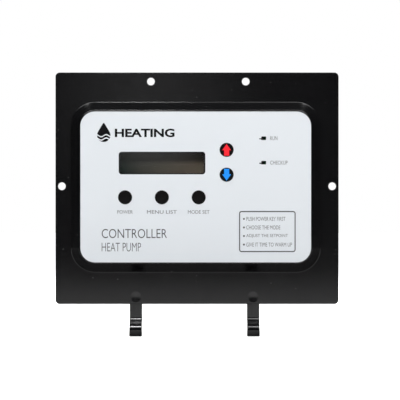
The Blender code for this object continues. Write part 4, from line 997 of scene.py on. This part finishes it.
class PANEL_OT_boards(bpy.types.Operator):
    """Circuit boards with their tracks, solder joints, printed outlines and small parts"""
    bl_idname = "panel.boards"
    bl_label = "Circuit boards"

    def execute(self, context):
        for node in ("control_board", "lcd_board"):
            piece(node + "_laminate", refined(node, 0.12 * MM), "board", "circuit_board", node)
        self.face = rear_of("control_board")
        self.tracks()
        self.joints()
        self.outlines()
        self.small_parts()
        return {"FINISHED"}

    def layer(self, name, shapes, finish_name):
        piece(name, mesh_of(name, joined(shapes)), finish_name, "circuit_board")

    def tracks(self):
        """Wide tracks from the relays and the fuse to the terminals, and narrow ones that fan out of the
        chip."""
        low, high = self.face + TOUCH, self.face + TOUCH + INK
        relays = [middle(f"relay_{number}") for number in (1, 2, 3)]
        ways = [middle(f"terminal_screw_{number}") for number in (1, 2, 3, 4)]
        fuse = middle("fuse_tube")
        under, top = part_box("relay_1")[0].z + 2 * MM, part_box("terminal_block")[1].z - 2 * MM
        wide = [route((relays[0].x - 6 * MM, under), (ways[0].x, top), 38 * MM, False),
                route((relays[1].x + 6 * MM, under), (ways[3].x, top), 44 * MM, False),
                [(relays[2].x - 4 * MM, under), (relays[2].x - 4 * MM, fuse.z + 8 * MM),
                 (relays[1].x + 11 * MM, fuse.z + 2 * MM), (relays[1].x + 7.4 * MM, fuse.z + 2 * MM)],
                [(fuse.x - 9 * MM, fuse.z - 2 * MM), (fuse.x - 9 * MM, fuse.z - 9 * MM),
                 (ways[1].x, fuse.z - 14 * MM), (ways[1].x, top)],
                [(fuse.x + 5 * MM, fuse.z - 3 * MM), (ways[2].x, fuse.z - 11 * MM), (ways[2].x, top)],
                [(relays[1].x - 6 * MM, under), (relays[1].x - 6 * MM, 12 * MM),
                 (relays[0].x + 6 * MM, 12 * MM),
                 (relays[0].x + 6 * MM, under)]]
        shapes = [strip(path, 2.6 * MM, low, high) for path in wide]
        chip, pins = middle("microcontroller"), middle("sensor_connector")
        reach = extent("microcontroller").x / 2
        fine = []
        for number in range(-5, 6):
            shift, lead = number * LEAD_PITCH, (9 + 1.5 * number) * MM
            corner = (chip.x - reach - lead, chip.z + shift)
            fine.append([(chip.x - reach, corner[1]), corner, (corner[0] - 5 * MM, corner[1] + 5 * MM),
                         (corner[0] - 5 * MM, under - 6 * MM)])
            fine.append(route((chip.x + shift, chip.z - reach),
                              (pins.x + number * 1.4 * MM, pins.z + 7 * MM),
                              (3 + abs(number)) * MM, False))
            fine.append(route((chip.x + reach, chip.z + shift), (44 * MM, chip.z + number * 2.1 * MM),
                              (7 - abs(number)) * MM))
            fine.append(route((chip.x + shift, chip.z + reach),
                              (chip.x + number * 2.0 * MM, under - 6 * MM),
                              (7 - abs(number)) * MM, False))
        fine.append([(44 * MM, chip.z), (middle("trimmer_body").x, chip.z)])
        for side, end in ((-1, middle("trimmer_body")), (1, middle("regulator"))):
            fine.append(route((44 * MM, chip.z + side * 8.4 * MM), (end.x + side * 2.5 * MM, end.z),
                              3 * MM))
        shapes += [strip(path, 0.42 * MM, low, high) for path in fine]
        self.layer("board_tracks", shapes, "masked_copper")
        vias = [turned(((0, low), (0.5 * MM, low), (0.5 * MM, high + INK), (0.2 * MM, high + INK),
                        (0, high)),
                       path[-1], "Y", 16) for path in fine]
        self.layer("board_vias", vias, "solder")

    def joints(self):
        """Solder joints of what stands on the front: a fillet whose radius falls off with height to the
        pin."""
        base = self.face + TOUCH
        section = [(0, base), (1.0 * MM, base), (0.95 * MM, base + 0.1 * MM), (0.6 * MM, base + 0.35 * MM),
                   (0.38 * MM, base + 0.8 * MM), (0.32 * MM, base + 1.1 * MM), (0.15 * MM, base + 1.2 * MM),
                   (0, base + 1.2 * MM)]
        spots = []
        for name in KEY_NAMES:
            key = middle("switch_" + name)
            spots += [(key.x + x * MM, key.z + z * MM) for x in (-3.25, 3.25) for z in (-2.25, 2.25)]
        for name in LAMP_NAMES:
            lamp = middle("led_" + name)
            spots += [(lamp.x + x * MM, lamp.z) for x in (-1.27, 1.27)]
        self.layer("solder_joints", [turned(section, spot, "Y", 20) for spot in spots], "solder")

    def outlines(self):
        low, high = self.face + TOUCH, self.face + TOUCH + INK
        shapes = []
        for node, room in (("relay_1", 1.0), ("relay_2", 1.0), ("relay_3", 1.0), ("microcontroller", 1.6),
                           ("terminal_block", 0.8), ("sensor_connector", 0.8), ("trimmer_body", 0.8),
                           ("heat_sink", 0.8)):
            spot, size = middle(node), extent(node)
            shapes.append(ruled_box((size.x + 2 * room * MM, size.z + 2 * room * MM), (spot.x, spot.z),
                                    0.25 * MM, low, high))
        fuse = middle("fuse_tube")
        shapes.append(ruled_box((26 * MM, 10 * MM), (fuse.x, fuse.z), 0.25 * MM, low, high))
        for number in (1, 2):
            can, ring = middle(f"capacitor_{number}"), 5.9 * MM
            shapes.append(tube(ring, ring - 0.25 * MM, low, high, (can.x, can.z), "Y"))
        self.layer("board_outlines", shapes, "white_ink")

    def small_parts(self):
        """Chip resistors and capacitors with bright ends, a diode for each relay, and the chip's
        crystal."""
        base = self.face + 0.05 * MM
        chip = middle("microcontroller")
        rows = [((chip.x + (number - 3) * 3.2 * MM, chip.z - 16.5 * MM), 90) for number in range(7)]
        rows += [((chip.x + 17.5 * MM, chip.z + 9 * MM + number * 3.0 * MM), 0) for number in range(5)]
        rows += [((-27 * MM + number * 3.4 * MM, -30 * MM), 90) for number in range(6)]
        bodies, ends = [], []
        for spot, turn in rows:
            bodies.append(turned_about(slab((2.0 * MM, 1.25 * MM), 0.1 * MM, base, base + 0.55 * MM,
                                            0.06 * MM,
                                            spot, "Y", 2), turn, spot))
            for side in (-1, 1):
                place = (spot[0] + side * 0.9 * MM, spot[1])
                ends.append(turned_about(slab((0.5 * MM, 1.32 * MM), 0.1 * MM, base - 0.03 * MM,
                                              base + 0.6 * MM,
                                              0.08 * MM, place, "Y", 2), turn, spot))
        self.layer("chip_resistors", bodies, "chip_epoxy")
        self.layer("chip_resistor_ends", ends, "solder")
        bodies, bands, leads = [], [], []
        for number in (1, 2, 3):
            relay = middle(f"relay_{number}")
            x, y, z = relay.x, base + 1.5 * MM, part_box("relay_1")[0].z - 4.2 * MM
            section = drum(1.35 * MM, x - 2.6 * MM, x + 2.6 * MM, 0.3 * MM, 0.3 * MM)
            bodies.append(turned(section, (y, z), "X", 32))
            bands.append(tube(1.38 * MM, 1.3 * MM, x + 1.2 * MM, x + 1.9 * MM, (y, z), "X", 32))
            for side in (-1, 1):
                bend = filleted(((x + side * 2.4 * MM, y, 0), (x + side * 4.6 * MM, y, 0.6 * MM),
                                 (x + side * 4.6 * MM, base, 0)), 5)
                leads.append(leg(bend, 0.7 * MM, 0.7 * MM, z))
        self.layer("relay_diodes", bodies, "chip_epoxy")
        self.layer("diode_bands", bands, "nickel")
        self.layer("diode_leads", leads, "solder")
        crystal = slab((11 * MM, 4.6 * MM), 2.25 * MM, base, base + 3.6 * MM, 0.5 * MM,
                       (chip.x - 14 * MM, chip.z - 8 * MM))
        brim = slab((12 * MM, 5.2 * MM), 2.5 * MM, base, base + 0.5 * MM, 0.15 * MM,
                    (chip.x - 14 * MM, chip.z - 8 * MM))
        self.layer("crystal", [crystal, brim], "nickel")


class PANEL_OT_screws(bpy.types.Operator):
    """Cross-head screws of both boards and slotted screws of the terminals"""
    bl_idname = "panel.screws"
    bl_label = "Screws"

    def execute(self, context):
        for group, head_rise in (("board_screw", 1.8 * MM), ("lcd_screw", 1.3 * MM)):
            for number in range(1, 5):
                node = f"{group}_{number}"
                low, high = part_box(node)
                self.cross_head(node, (low + high) / 2, low.y, high.y, (high.x - low.x) / 2, head_rise)
        for number in range(1, 5):
            node = f"terminal_screw_{number}"
            low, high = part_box(node)
            spot, radius = (low + high) / 2, (high.x - low.x) / 2
            section = drum(radius, low.y, high.y, 0.1 * MM, 0.35 * MM)
            slot = slab((3 * radius, 0.55 * MM), 0.05 * MM, high.y - 0.7 * MM, high.y + PAST, 0.02 * MM,
                        (spot.x, spot.z), "Y", 2)
            slot = turned_about(slot, 23 * number, (spot.x, spot.z))
            mesh = carved(node, turned(section, (spot.x, spot.z), "Y", 40), [("DIFFERENCE", slot)])
            piece(node + "_head", smoothed(mesh), "zinc", "screw_steel", node)
        return {"FINISHED"}

    def cross_head(self, node, spot, low, high, radius, rise):
        """A pan head whose top is a quarter ellipse, over a shank whose radius zigzags as a thread does."""
        seat = high - rise
        shank, pitch = 0.5 * radius, 0.8 * MM
        turn = np.radians(np.linspace(0, 90, 9))
        dome = np.stack((radius * np.sin(turn) ** 0.8, seat + 0.35 * rise + 0.65 * rise * np.cos(turn)), -1)
        levels = np.arange(low + shank, seat - pitch / 2, pitch / 2)
        teeth = np.stack((shank * (1 - 0.2 * (np.arange(len(levels)) % 2)), levels), -1)
        section = np.concatenate((((0, low), (0.15 * shank, low)), teeth, ((shank, seat), (radius, seat)),
                                  dome[::-1]))
        arms = [slab((1.25 * radius, 0.26 * radius), 0.02 * MM, high - 0.75 * rise, high + PAST, 0.01 * MM,
                     (spot.x, spot.z), "Y", 2)]
        arms = [turned_about(arms[0], angle, (spot.x, spot.z)) for angle in (35, 125)]
        mesh = carved(node, turned(section, (spot.x, spot.z), "Y", 40),
                      [("DIFFERENCE", arms[0]), ("DIFFERENCE", arms[1])])
        piece(node + "_cross_head", smoothed(mesh), "zinc", "screw_steel", node)


class PANEL_OT_power(bpy.types.Operator):
    """Relays, capacitors, finned heat sink with its regulator, and the glass fuse in its clips"""
    bl_idname = "panel.power"
    bl_label = "Power parts"

    def execute(self, context):
        self.seat = rear_of("control_board") + 0.02 * MM
        for number in (1, 2, 3):
            self.relay(f"relay_{number}")
        for number in (1, 2):
            self.capacitor(f"capacitor_{number}")
        piece("finned_heat_sink", refined("heat_sink", 0.18 * MM), "anodised",
              "sink_aluminium", "heat_sink")
        self.regulator()
        self.fuse()
        return {"FINISHED"}

    def relay(self, node):
        """A sealed case: a base ledge, straight sides, rounded top edges and a groove round the lid."""
        low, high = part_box(node)
        spot, top = (low + high) / 2, high.y
        side = 0.25 * MM
        section = [(0.4 * MM, self.seat), (0, self.seat + 0.3 * MM), (0, low.y + 1.6 * MM),
                   (side, low.y + 1.8 * MM)]
        section += [(side + 0.7 * MM * (1 - math.cos(a)), top - 0.7 * MM * (1 - math.sin(a)))
                    for a in np.radians(np.linspace(0, 90, 6))]
        section += [(1.9 * MM, top), (2.0 * MM, top - 0.2 * MM), (2.4 * MM, top - 0.2 * MM),
                    (2.5 * MM, top)]
        shape = boxed((high.x - low.x, high.z - low.z), 0.9 * MM, section, (spot.x, spot.z), "Y", 5)
        vent = (spot.x + 6 * MM, spot.z + 4.4 * MM)
        nib = turned(filleted(((0, top - 0.1 * MM, 0), (0.9 * MM, top - 0.1 * MM, 0),
                               (0.7 * MM, top + 0.5 * MM,
                               0.15 * MM), (0, top + 0.5 * MM, 0)), 4), vent, "Y", 24)
        mesh = carved(node, shape, [("UNION", nib)])
        piece(node + "_case", flat_kept(mesh), "relay_blue", "relay_case", node)

    def capacitor(self, node):
        """A sleeved can with a rolled-in groove, a scored bright top and a pale stripe down one side."""
        low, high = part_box(node)
        spot, radius, top = (low + high) / 2, (high.x - low.x) / 2, high.y
        centre = (spot.x, spot.z)
        inner = radius - 0.9 * MM
        section = filleted(((0, self.seat, 0), (radius, self.seat, 0.4 * MM),
                            (radius, low.y + 2.0 * MM, 0.3 * MM),
                            (radius - 0.45 * MM, low.y + 2.5 * MM, 0.3 * MM), (radius, low.y + 3.0 * MM,
                                                                               0.3 * MM),
                            (radius, top, 0.5 * MM), (inner, top, 0.1 * MM), (inner, top - 0.35 * MM,
                                                                              0.05 * MM),
                            (0, top - 0.35 * MM, 0)), 4)
        piece(node + "_sleeve", smoothed(mesh_of(node, turned(section, centre, "Y", 64))),
              "capacitor_sleeve", "capacitor_sleeve", node)
        disc = turned(drum(inner - 0.03 * MM, top - 0.4 * MM, top - 0.12 * MM, 0, 0.1 * MM), centre)
        scores = [turned_about(slab((1.5 * inner, 0.3 * MM), 0.02 * MM, top - 0.25 * MM, top + PAST,
                                    0.01 * MM,
                                    centre, "Y", 2), angle, centre) for angle in (0, 90)]
        mesh = carved(node + "_top", disc, [("DIFFERENCE", score) for score in scores])
        piece(node + "_top", smoothed(mesh), "bright_aluminium", "capacitor_sleeve")
        turn = np.radians(np.linspace(-112, -68, 14))
        rim = np.stack((np.cos(turn), np.sin(turn)), -1)
        band = np.concatenate((rim * (radius + INK), (rim * (radius - INK))[::-1])) + np.array(centre)
        stripe = skin([stood(band, low.y + 3.6 * MM), stood(band, top - 0.7 * MM)])
        piece(node + "_stripe", smoothed(mesh_of("stripe", stripe)), "stripe_ink",
              "capacitor_sleeve")

    def regulator(self):
        """A moulded body on a bright tab with a hole, held by a screw, on three flat legs."""
        low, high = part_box("regulator")
        x = (low.x + high.x) / 2
        width, tab, split = high.x - low.x, high.z - 1.3 * MM, low.y + 9.2 * MM
        body = slab((width, split - low.y), 0.25 * MM, low.z, tab + 0.1 * MM, 0.3 * MM,
                    (x, (split + low.y) / 2), "Z", 3)
        piece("regulator_body", flat_kept(mesh_of("regulator", body)), "chip_epoxy",
              "chip_epoxy", "regulator")
        plate = slab((width - 0.3 * MM, high.y - low.y - 0.3 * MM), 0.6 * MM, tab, high.z, 0.1 * MM,
                     (x, (high.y + low.y) / 2), "Z", 4)
        hole = (x, high.y - 3.0 * MM)
        bore = rod(1.8 * MM, tab - PAST, high.z + PAST, hole, "Z", 32)
        plate = carved("tab", plate, [("DIFFERENCE", bore)])
        piece("regulator_tab", flat_kept(plate), "nickel", "screw_steel")
        head = filleted(((0, high.z, 0), (1.4 * MM, high.z, 0), (1.4 * MM, tab - 0.02 * MM, 0),
                         (2.8 * MM, tab - 0.02 * MM, 0.1 * MM), (2.6 * MM, tab - 1.7 * MM, 0.7 * MM),
                         (0, tab - 1.9 * MM, 0)), 5)
        slot = slab((6 * MM, 0.7 * MM), 0.05 * MM, tab - 3 * MM, tab - 1.1 * MM, 0.02 * MM, hole, "Z", 2)
        screw = carved("sink_screw", turned(head, hole, "Z", 40), [("DIFFERENCE", slot)])
        piece("sink_screw", smoothed(screw), "zinc", "screw_steel")
        legs = [slab((0.85 * MM, 0.5 * MM), 0.05 * MM, self.seat, low.y + 0.3 * MM, 0.02 * MM,
                     (x + side * PIN_PITCH, low.z + 1.6 * MM), "Y", 2) for side in (-1, 0, 1)]
        piece("regulator_legs", mesh_of("legs", joined(legs)), "solder", "screw_steel")

    def fuse(self):
        low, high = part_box("fuse_tube")
        spot, radius = (low + high) / 2, (high.y - low.y) / 2
        centre = (spot.y, spot.z)
        piece("fuse_glass_tube",
              smoothed(mesh_of("tube", tube(radius, radius - 0.6 * MM, low.x, high.x, centre,
                                                               "X"))),
              "fuse_glass", "fuse_glass", "fuse_tube")
        wire = turned([(0.09 * MM, x) for x in np.linspace(low.x + 0.2 * MM, high.x - 0.2 * MM, 20)],
                      centre,
                      "X", 12)
        piece("fuse_wire", smoothed(mesh_of("wire", wire)), "nickel", "fuse_metal")
        for number, way in ((1, 1), (2, -1)):
            near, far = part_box(f"fuse_cap_{number}")
            cap_r = (far.y - near.y) / 2
            end, mouth = (near.x, far.x) if way > 0 else (far.x, near.x)
            section = filleted(((0, end, 0), (cap_r, end, 0.5 * MM), (cap_r, mouth, 0.15 * MM),
                                (cap_r - 0.45 * MM, mouth, 0), (cap_r - 0.45 * MM, end + way * 0.45 * MM,
                                                                0),
                                (0, end + way * 0.45 * MM, 0)), 4)
            piece(f"fuse_end_cap_{number}", smoothed(mesh_of("cap", turned(section, centre, "X"))),
                  "nickel", "fuse_metal", f"fuse_cap_{number}")
            piece(f"fuse_spring_clip_{number}", refined(f"fuse_clip_{number}", 0.1 * MM), "nickel",
                  "fuse_metal", f"fuse_clip_{number}")


class PANEL_OT_signal(bpy.types.Operator):
    """Chip with its leads, terminals, sensor socket, contrast trimmer, indicator lamps and key switches"""
    bl_idname = "panel.signal"
    bl_label = "Signal parts"

    def execute(self, context):
        self.chip()
        piece("terminal_housing", refined("terminal_block", 0.25 * MM), "terminal_green",
              "terminal_plastic", "terminal_block")
        piece("sensor_socket", refined("sensor_connector", 0.15 * MM), "nylon",
              "white_nylon", "sensor_connector")
        self.pins()
        piece("trimmer_case", refined("trimmer_body", 0.2 * MM), "trimmer_blue",
              "trimmer_case", "trimmer_body")
        piece("contrast_rotor_disc", refined("trimmer_rotor", 0.12 * MM), "rotor_nylon", "white_nylon",
              "trimmer_rotor", body="contrast_rotor")
        for name in LAMP_NAMES:
            self.lamp(name)
        for name in KEY_NAMES:
            piece(f"switch_{name}_housing", refined("switch_" + name, 0.15 * MM), "switch_steel",
                  "switch_case", "switch_" + name)
            node = "switch_stem_" + name
            low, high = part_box(node)
            spot, radius = (low + high) / 2, (high.x - low.x) / 2
            section = drum(radius, low.y, high.y, 0.25 * MM, 0.1 * MM)
            piece(f"{name}_switch_stem",
                  smoothed(mesh_of(node, turned(section, (spot.x, spot.z), "Y", 32))),
                  "black_plastic", "switch_case", node, body=name + "_key")
        piece("lcd_pin_header", refined("lcd_header", 0.2 * MM), "black_plastic",
              "black_plastic", "lcd_header")
        return {"FINISHED"}

    def chip(self):
        """A flat square body with bevelled sides, a dot at its first lead, and eleven gull-wing leads a
        side."""
        low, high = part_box("microcontroller")
        spot, side = (low + high) / 2, high.x - low.x - 2 * MM
        centre, seat = (spot.x, spot.z), rear_of("control_board")
        middle_level = (low.y + high.y) / 2
        body = boxed((side, side), 0.5 * MM, ((0.15 * MM, low.y), (0, middle_level),
                                              (0.12 * MM, high.y - 0.05 * MM),
                                              (0.2 * MM, high.y)), centre, "Y", 3)
        dimple = turned(((0, high.y - 0.1 * MM), (0.5 * MM, high.y - 0.1 * MM), (0.55 * MM, high.y + PAST),
                         (0, high.y + PAST)), (spot.x - 4.6 * MM, spot.z + 4.6 * MM), "Y", 24)
        mesh = carved("chip", body, [("DIFFERENCE", dimple)])
        piece("chip_body", flat_kept(mesh, 20), "chip_epoxy", "chip_epoxy", "microcontroller")
        half = side / 2
        path = filleted(((half - 0.1 * MM, middle_level, 0), (half + 0.35 * MM, middle_level, 0.12 * MM),
                         (half + 0.5 * MM, seat + 0.1 * MM, 0.12 * MM), (half + 1.0 * MM, seat + 0.1 * MM,
                                                                         0)), 3)
        path = path + np.array((spot.x, 0))
        leads = [turned_about(leg(path, 0.36 * MM, 0.14 * MM, spot.z + number * LEAD_PITCH), turn, centre)
                 for turn in (0, 90, 180, 270) for number in range(-5, 6)]
        piece("chip_leads", mesh_of("leads", joined(leads)), "solder", "chip_epoxy")

    def pins(self):
        """A bright sleeve on each pin of the sensor socket, with a pointed end."""
        low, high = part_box("sensor_connector")
        spot = (low + high) / 2
        side, tip = 0.70 * MM, low.y + 7.0 * MM
        pins = []
        for number in range(6):
            x = spot.x + (number - 2.5) * PIN_PITCH
            pins.append(boxed((side, side), 0.05 * MM, ((0, low.y + 1.5 * MM), (0, tip - 0.35 * MM),
                                                        (0.2 * MM, tip)), (x, spot.z), "Y", 2))
        piece("sensor_pins", mesh_of("pins", joined(pins)), "nickel", "white_nylon")

    def lamp(self, name):
        """A round-nosed lamp: a half ellipsoid on a barrel with a collar, on its spacer."""
        low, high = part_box("led_" + name)
        spot = (low + high) / 2
        collar = (high.x - low.x) / 2
        barrel = collar - 0.4 * MM
        turn = np.radians(np.linspace(0, 90, 9))
        nose = np.stack((barrel * np.sin(turn), low.y + barrel * (1 - np.cos(turn))), -1)
        section = np.concatenate((nose, ((barrel, high.y - 0.9 * MM), (collar, high.y - 0.85 * MM),
                                         (collar, high.y), (0, high.y))))
        piece(f"{name}_lamp", smoothed(mesh_of("lamp", turned(section, (spot.x, spot.z), "Y", 32))),
              "led_epoxy", "led_epoxy", "led_" + name)
        low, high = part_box("led_spacer_" + name)
        radius = (high.x - low.x) / 2
        section = drum(radius, low.y, high.y, 0.3 * MM, 0.3 * MM)
        spacer = turned(section, (spot.x, spot.z), "Y", 32)
        piece(f"{name}_lamp_spacer", smoothed(mesh_of("spacer", spacer)), "black_plastic",
              "black_plastic", "led_spacer_" + name)


def make_finishes(colours):
    finish("black_gloss", colours.bezel, 0.13, drift=0.2, rough_drift=0.06, grain_scale=900.0, grain=0.02,
           wave_scale=18.0, wave=1.0, bump=0.03, scuffs=0.35, dust=0.25,
           shader_values={"IOR": 1.48})
    finish("printed_sheet", colours.face, 0.42, drift=0.015, patch=12.0, grain_scale=5200.0, grain=0.5,
           wave=0.1, bump=0.008)
    finish("key_black", colours.key, 0.38, drift=0.3, grain_scale=4200.0, grain=0.5, bump=0.006,
           shader_values={"Specular IOR Level": 0.14})
    finish("up_arrow", colours.red, 0.5, drift=0.08, grain_scale=4200.0, grain=0.7, bump=0.008)
    finish("down_arrow", colours.blue, 0.5, drift=0.08, grain_scale=4200.0, grain=0.7, bump=0.008)
    finish("black_ink", colours.black_ink, 0.5, drift=0.2, grain_scale=5200.0, grain=0.5, bump=0.006,
           shader_values={"Specular IOR Level": 0.12})
    finish("grey_ink", colours.grey_ink, 0.5, drift=0.1, grain_scale=5200.0, grain=0.5, bump=0.006)
    finish("pale_ink", colours.pale_ink, 0.5, drift=0.1, grain_scale=5200.0, grain=0.5, bump=0.006)
    finish("clear_acrylic", (0.96, 0.97, 0.97), 0.03, drift=0.01, rough_drift=0.02, grain=0.05, bump=0.004,
           scuffs=0.2, clear=True, shader_values={"Transmission Weight": 1.0, "IOR": 1.45})
    finish("display_glass", colours.glass, 0.16, drift=0.1, grain=0.05, bump=0.003,
           shader_values={"Specular IOR Level": 0.2})
    tint_display_and_paint_shade(colours.glass, colours.glass_right)
    finish("light_guide", (0.62, 0.66, 0.6), 0.4)
    finish("black_steel", (0.012, 0.012, 0.012), 0.35, metallic=0.3, grain=0.4, bump=0.01)
    finish("black_plastic", (0.02, 0.02, 0.021), 0.45, grain=0.5)
    finish("zinc", (0.58, 0.6, 0.6), 0.28, metallic=1.0, drift=0.25, rough_drift=0.2, scuffs=0.6)
    finish("led_epoxy", (0.9, 0.85, 0.85), 0.08, shader_values={"Transmission Weight": 0.85, "IOR": 1.5})
    finish("relay_blue", (0.012, 0.085, 0.33), 0.38, grain=0.4)
    finish("capacitor_sleeve", (0.012, 0.013, 0.03), 0.3, grain=0.1)
    finish("chip_epoxy", (0.018, 0.018, 0.019), 0.55, grain=0.8)
    finish("anodised", (0.02, 0.02, 0.022), 0.42, metallic=0.7, grain=0.5)
    finish("fuse_glass", (0.95, 0.97, 0.96), 0.03, clear=True,
           shader_values={"Transmission Weight": 1.0, "IOR": 1.45})
    finish("nickel", (0.66, 0.64, 0.6), 0.22, metallic=1.0, drift=0.2, scuffs=0.5)
    finish("terminal_green", (0.012, 0.19, 0.06), 0.42, grain=0.5)
    finish("nylon", (0.74, 0.72, 0.64), 0.45, grain=0.4)
    finish("rotor_nylon", (0.4, 0.38, 0.32), 0.45, grain=0.4)
    finish("switch_steel", (0.30, 0.30, 0.30), 0.3, metallic=0.9, drift=0.2, scuffs=0.5)
    finish("bright_aluminium", (0.78, 0.78, 0.79), 0.25, metallic=1.0, drift=0.1, scuffs=0.6)
    finish("solder", (0.66, 0.67, 0.68), 0.24, metallic=1.0, drift=0.3, patch=900.0, rough_drift=0.25)
    finish("masked_copper", (0.028, 0.25, 0.095), 0.26, drift=0.2, patch=300.0)
    finish("white_ink", (0.72, 0.73, 0.70), 0.5, drift=0.25, patch=2500.0)
    finish("stripe_ink", (0.50, 0.52, 0.54), 0.35, drift=0.1, patch=400.0)
    finish("trimmer_blue", (0.015, 0.11, 0.42), 0.38, grain=0.4)
    finish("board", colours.board, 0.3, drift=0.3)


class PANEL_OT_stage(bpy.types.Operator):
    """Pale floor, soft lights and the camera"""
    bl_idname = "panel.stage"
    bl_label = "Stage"

    def execute(self, context):
        setup = context.scene.stage_setup
        self.floor(CAD_LOW.z - setup.floor_drop, setup.floor_front)
        self.world(setup)
        for side in (-1, 1):
            self.light(f"key_light_{side}", (side * 0.42, -0.47, 0.9), (0.7, 0.7), setup.key_power)
            self.light(f"back_light_{side}", (side * 0.6, 0.85, 0.62), (0.6, 0.6), setup.back_power)
        for name, place, size, power in (("overhead_strip", (-0.06, -0.2, 0.5), (0.09, 0.06),
                                          setup.strip_power),
                                         ("overhead_fill", (0.05, -0.2, 0.5), (0.12, 0.06),
                                          setup.fill_power)):
            self.light(name, place, size, power).visible_diffuse = False
        camera = bpy.data.cameras.new("camera")
        camera.sensor_width = 36
        camera.lens = camera.sensor_width * setup.distance / setup.view_width
        camera.clip_start, camera.clip_end = 0.01, 20
        obj = linked("camera", camera)
        obj.location = (2.3 * MM, -setup.distance, -9.1 * MM)
        obj.rotation_euler = (math.radians(90), 0, 0)
        context.scene.camera = obj
        context.scene.view_settings.view_transform = "Standard"
        return {"FINISHED"}

    def floor(self, level, front):
        """A round floor that ends in front of the panel: rings whose radius grows by equal steps. It is
        darker close under the panel, where a real one lies in its shadow."""
        radius = 3.0
        section = [(part * radius, level) for part in np.linspace(0, 1, 12)]
        mesh = mesh_of("floor",
                       skin([stood(circle_loop(max(r, TINY), 64) + np.array((0, radius - front)), z, "Z")
                                      for r, z in section], ends=False))
        made = bpy.data.materials.new("pale_floor")
        made.use_nodes = True
        tree = made.node_tree
        shader = tree.nodes["Principled BSDF"]
        shader.inputs["Roughness"].default_value = 0.7
        shader.inputs["Emission Color"].default_value = (1, 1, 1, 1)
        spot = add(tree, "TexCoord").outputs["Object"]
        ahead = add(tree, "SeparateXYZ", (), ((0, spot),)).outputs[1]
        fade = ramp(tree, ahead, -front, -0.45, 0.05, 0.9)
        beside = maths(tree, "ABSOLUTE", ahead)
        grey = maths(tree, "MULTIPLY", fade, ramp(tree, beside, 0.02, 0.1, 0.06, 1.0, "SMOOTHSTEP"))
        shade = add(tree, "CombineColor", (), ((0, grey), (1, grey), (2, grey))).outputs[0]
        surface = placed_group(tree, "surface", {"Drift": 0.01, "Patch Scale": 2.0},
                               (("Vector", spot), ("Colour", shade)))
        tree.links.new(surface.outputs["Colour"], shader.inputs["Base Color"])
        tree.links.new(add(tree, "LightPath").outputs["Is Camera Ray"], shader.inputs["Emission Strength"])
        mesh.materials.append(made)
        obj = linked("floor", mesh)

    def world(self, setup):
        """White where the camera sees it. For every other ray it is dark, with a small glow in front, just
        above the level view, and a bright half behind the panel."""
        made = bpy.data.worlds.new("studio")
        bpy.context.scene.world = made
        made.use_nodes = True
        tree = made.node_tree
        shader = tree.nodes["Background"]
        shader.inputs["Color"].default_value = (1, 1, 1, 1)
        direction = add(tree, "TexCoord").outputs["Generated"]
        towards = Vector((-0.026, -1, 0.054)).normalized()
        near = add(tree, "VectorMath", {"operation": "DOT_PRODUCT", 1: towards}, ((0, direction),))
        edge = math.cos(math.radians(2.6))
        glow = ramp(tree, near.outputs["Value"], edge, 1.0, 0.0, setup.glow, "SMOOTHSTEP")
        depth = add(tree, "SeparateXYZ", (), ((0, direction),)).outputs[1]
        back = ramp(tree, depth, 0.3, 0.9, 0.0, setup.back_glow, "SMOOTHSTEP")
        both = maths(tree, "ADD", glow, back)
        seen = add(tree, "LightPath").outputs["Is Camera Ray"]
        level = add(tree, "Mix", {"data_type": "FLOAT", 3: 1.0}, ((0, seen), (2, both)))
        tree.links.new(level.outputs[0], shader.inputs["Strength"])

    def light(self, name, place, size, power):
        lamp = bpy.data.lights.new(name, "AREA")
        lamp.shape = "RECTANGLE"
        lamp.size, lamp.size_y = size
        lamp.energy = power
        obj = linked(name, lamp)
        obj.location = place
        obj.rotation_euler = (Vector((0, 0, -0.01)) - Vector(place)).to_track_quat("-Z", "Y").to_euler()
        return obj


class PANEL_PT_sidebar(bpy.types.Panel):
    """Buttons and sizes of the control panel"""
    bl_idname = "PANEL_PT_sidebar"
    bl_label = "Control Panel"
    bl_space_type = "VIEW_3D"
    bl_region_type = "UI"
    bl_category = "Control Panel"

    def draw(self, context):
        for operator in OPERATORS:
            self.layout.operator(operator.bl_idname)
        for attribute in SETTINGS:
            box = self.layout.box()
            group = getattr(context.scene, attribute)
            for name in group.__annotations__:
                box.prop(group, name)


SETTINGS = {"panel_finishes": PanelFinishes, "moulding_sizes": MouldingSizes, "print_sizes": PrintSizes,
            "stage_setup": StageSetup}
OPERATORS = (PANEL_OT_bezel, PANEL_OT_face, PANEL_OT_print, PANEL_OT_keys, PANEL_OT_display,
             PANEL_OT_boards,
             PANEL_OT_screws, PANEL_OT_power, PANEL_OT_signal, PANEL_OT_stage)


def register():
    for group in SETTINGS.values():
        bpy.utils.register_class(group)
    for attribute, group in SETTINGS.items():
        setattr(bpy.types.Scene, attribute, PointerProperty(type=group))
    for made in OPERATORS + (PANEL_PT_sidebar,):
        bpy.utils.register_class(made)


def unregister():
    for made in reversed(OPERATORS + (PANEL_PT_sidebar,)):
        bpy.utils.unregister_class(made)
    for attribute, group in SETTINGS.items():
        delattr(bpy.types.Scene, attribute)
        bpy.utils.unregister_class(group)


def main():
    register()
    make_finishes(bpy.context.scene.panel_finishes)
    for operator in OPERATORS:
        category, name = operator.bl_idname.split(".")
        getattr(getattr(bpy.ops, category), name)()


if __name__ == "__main__":
    main()
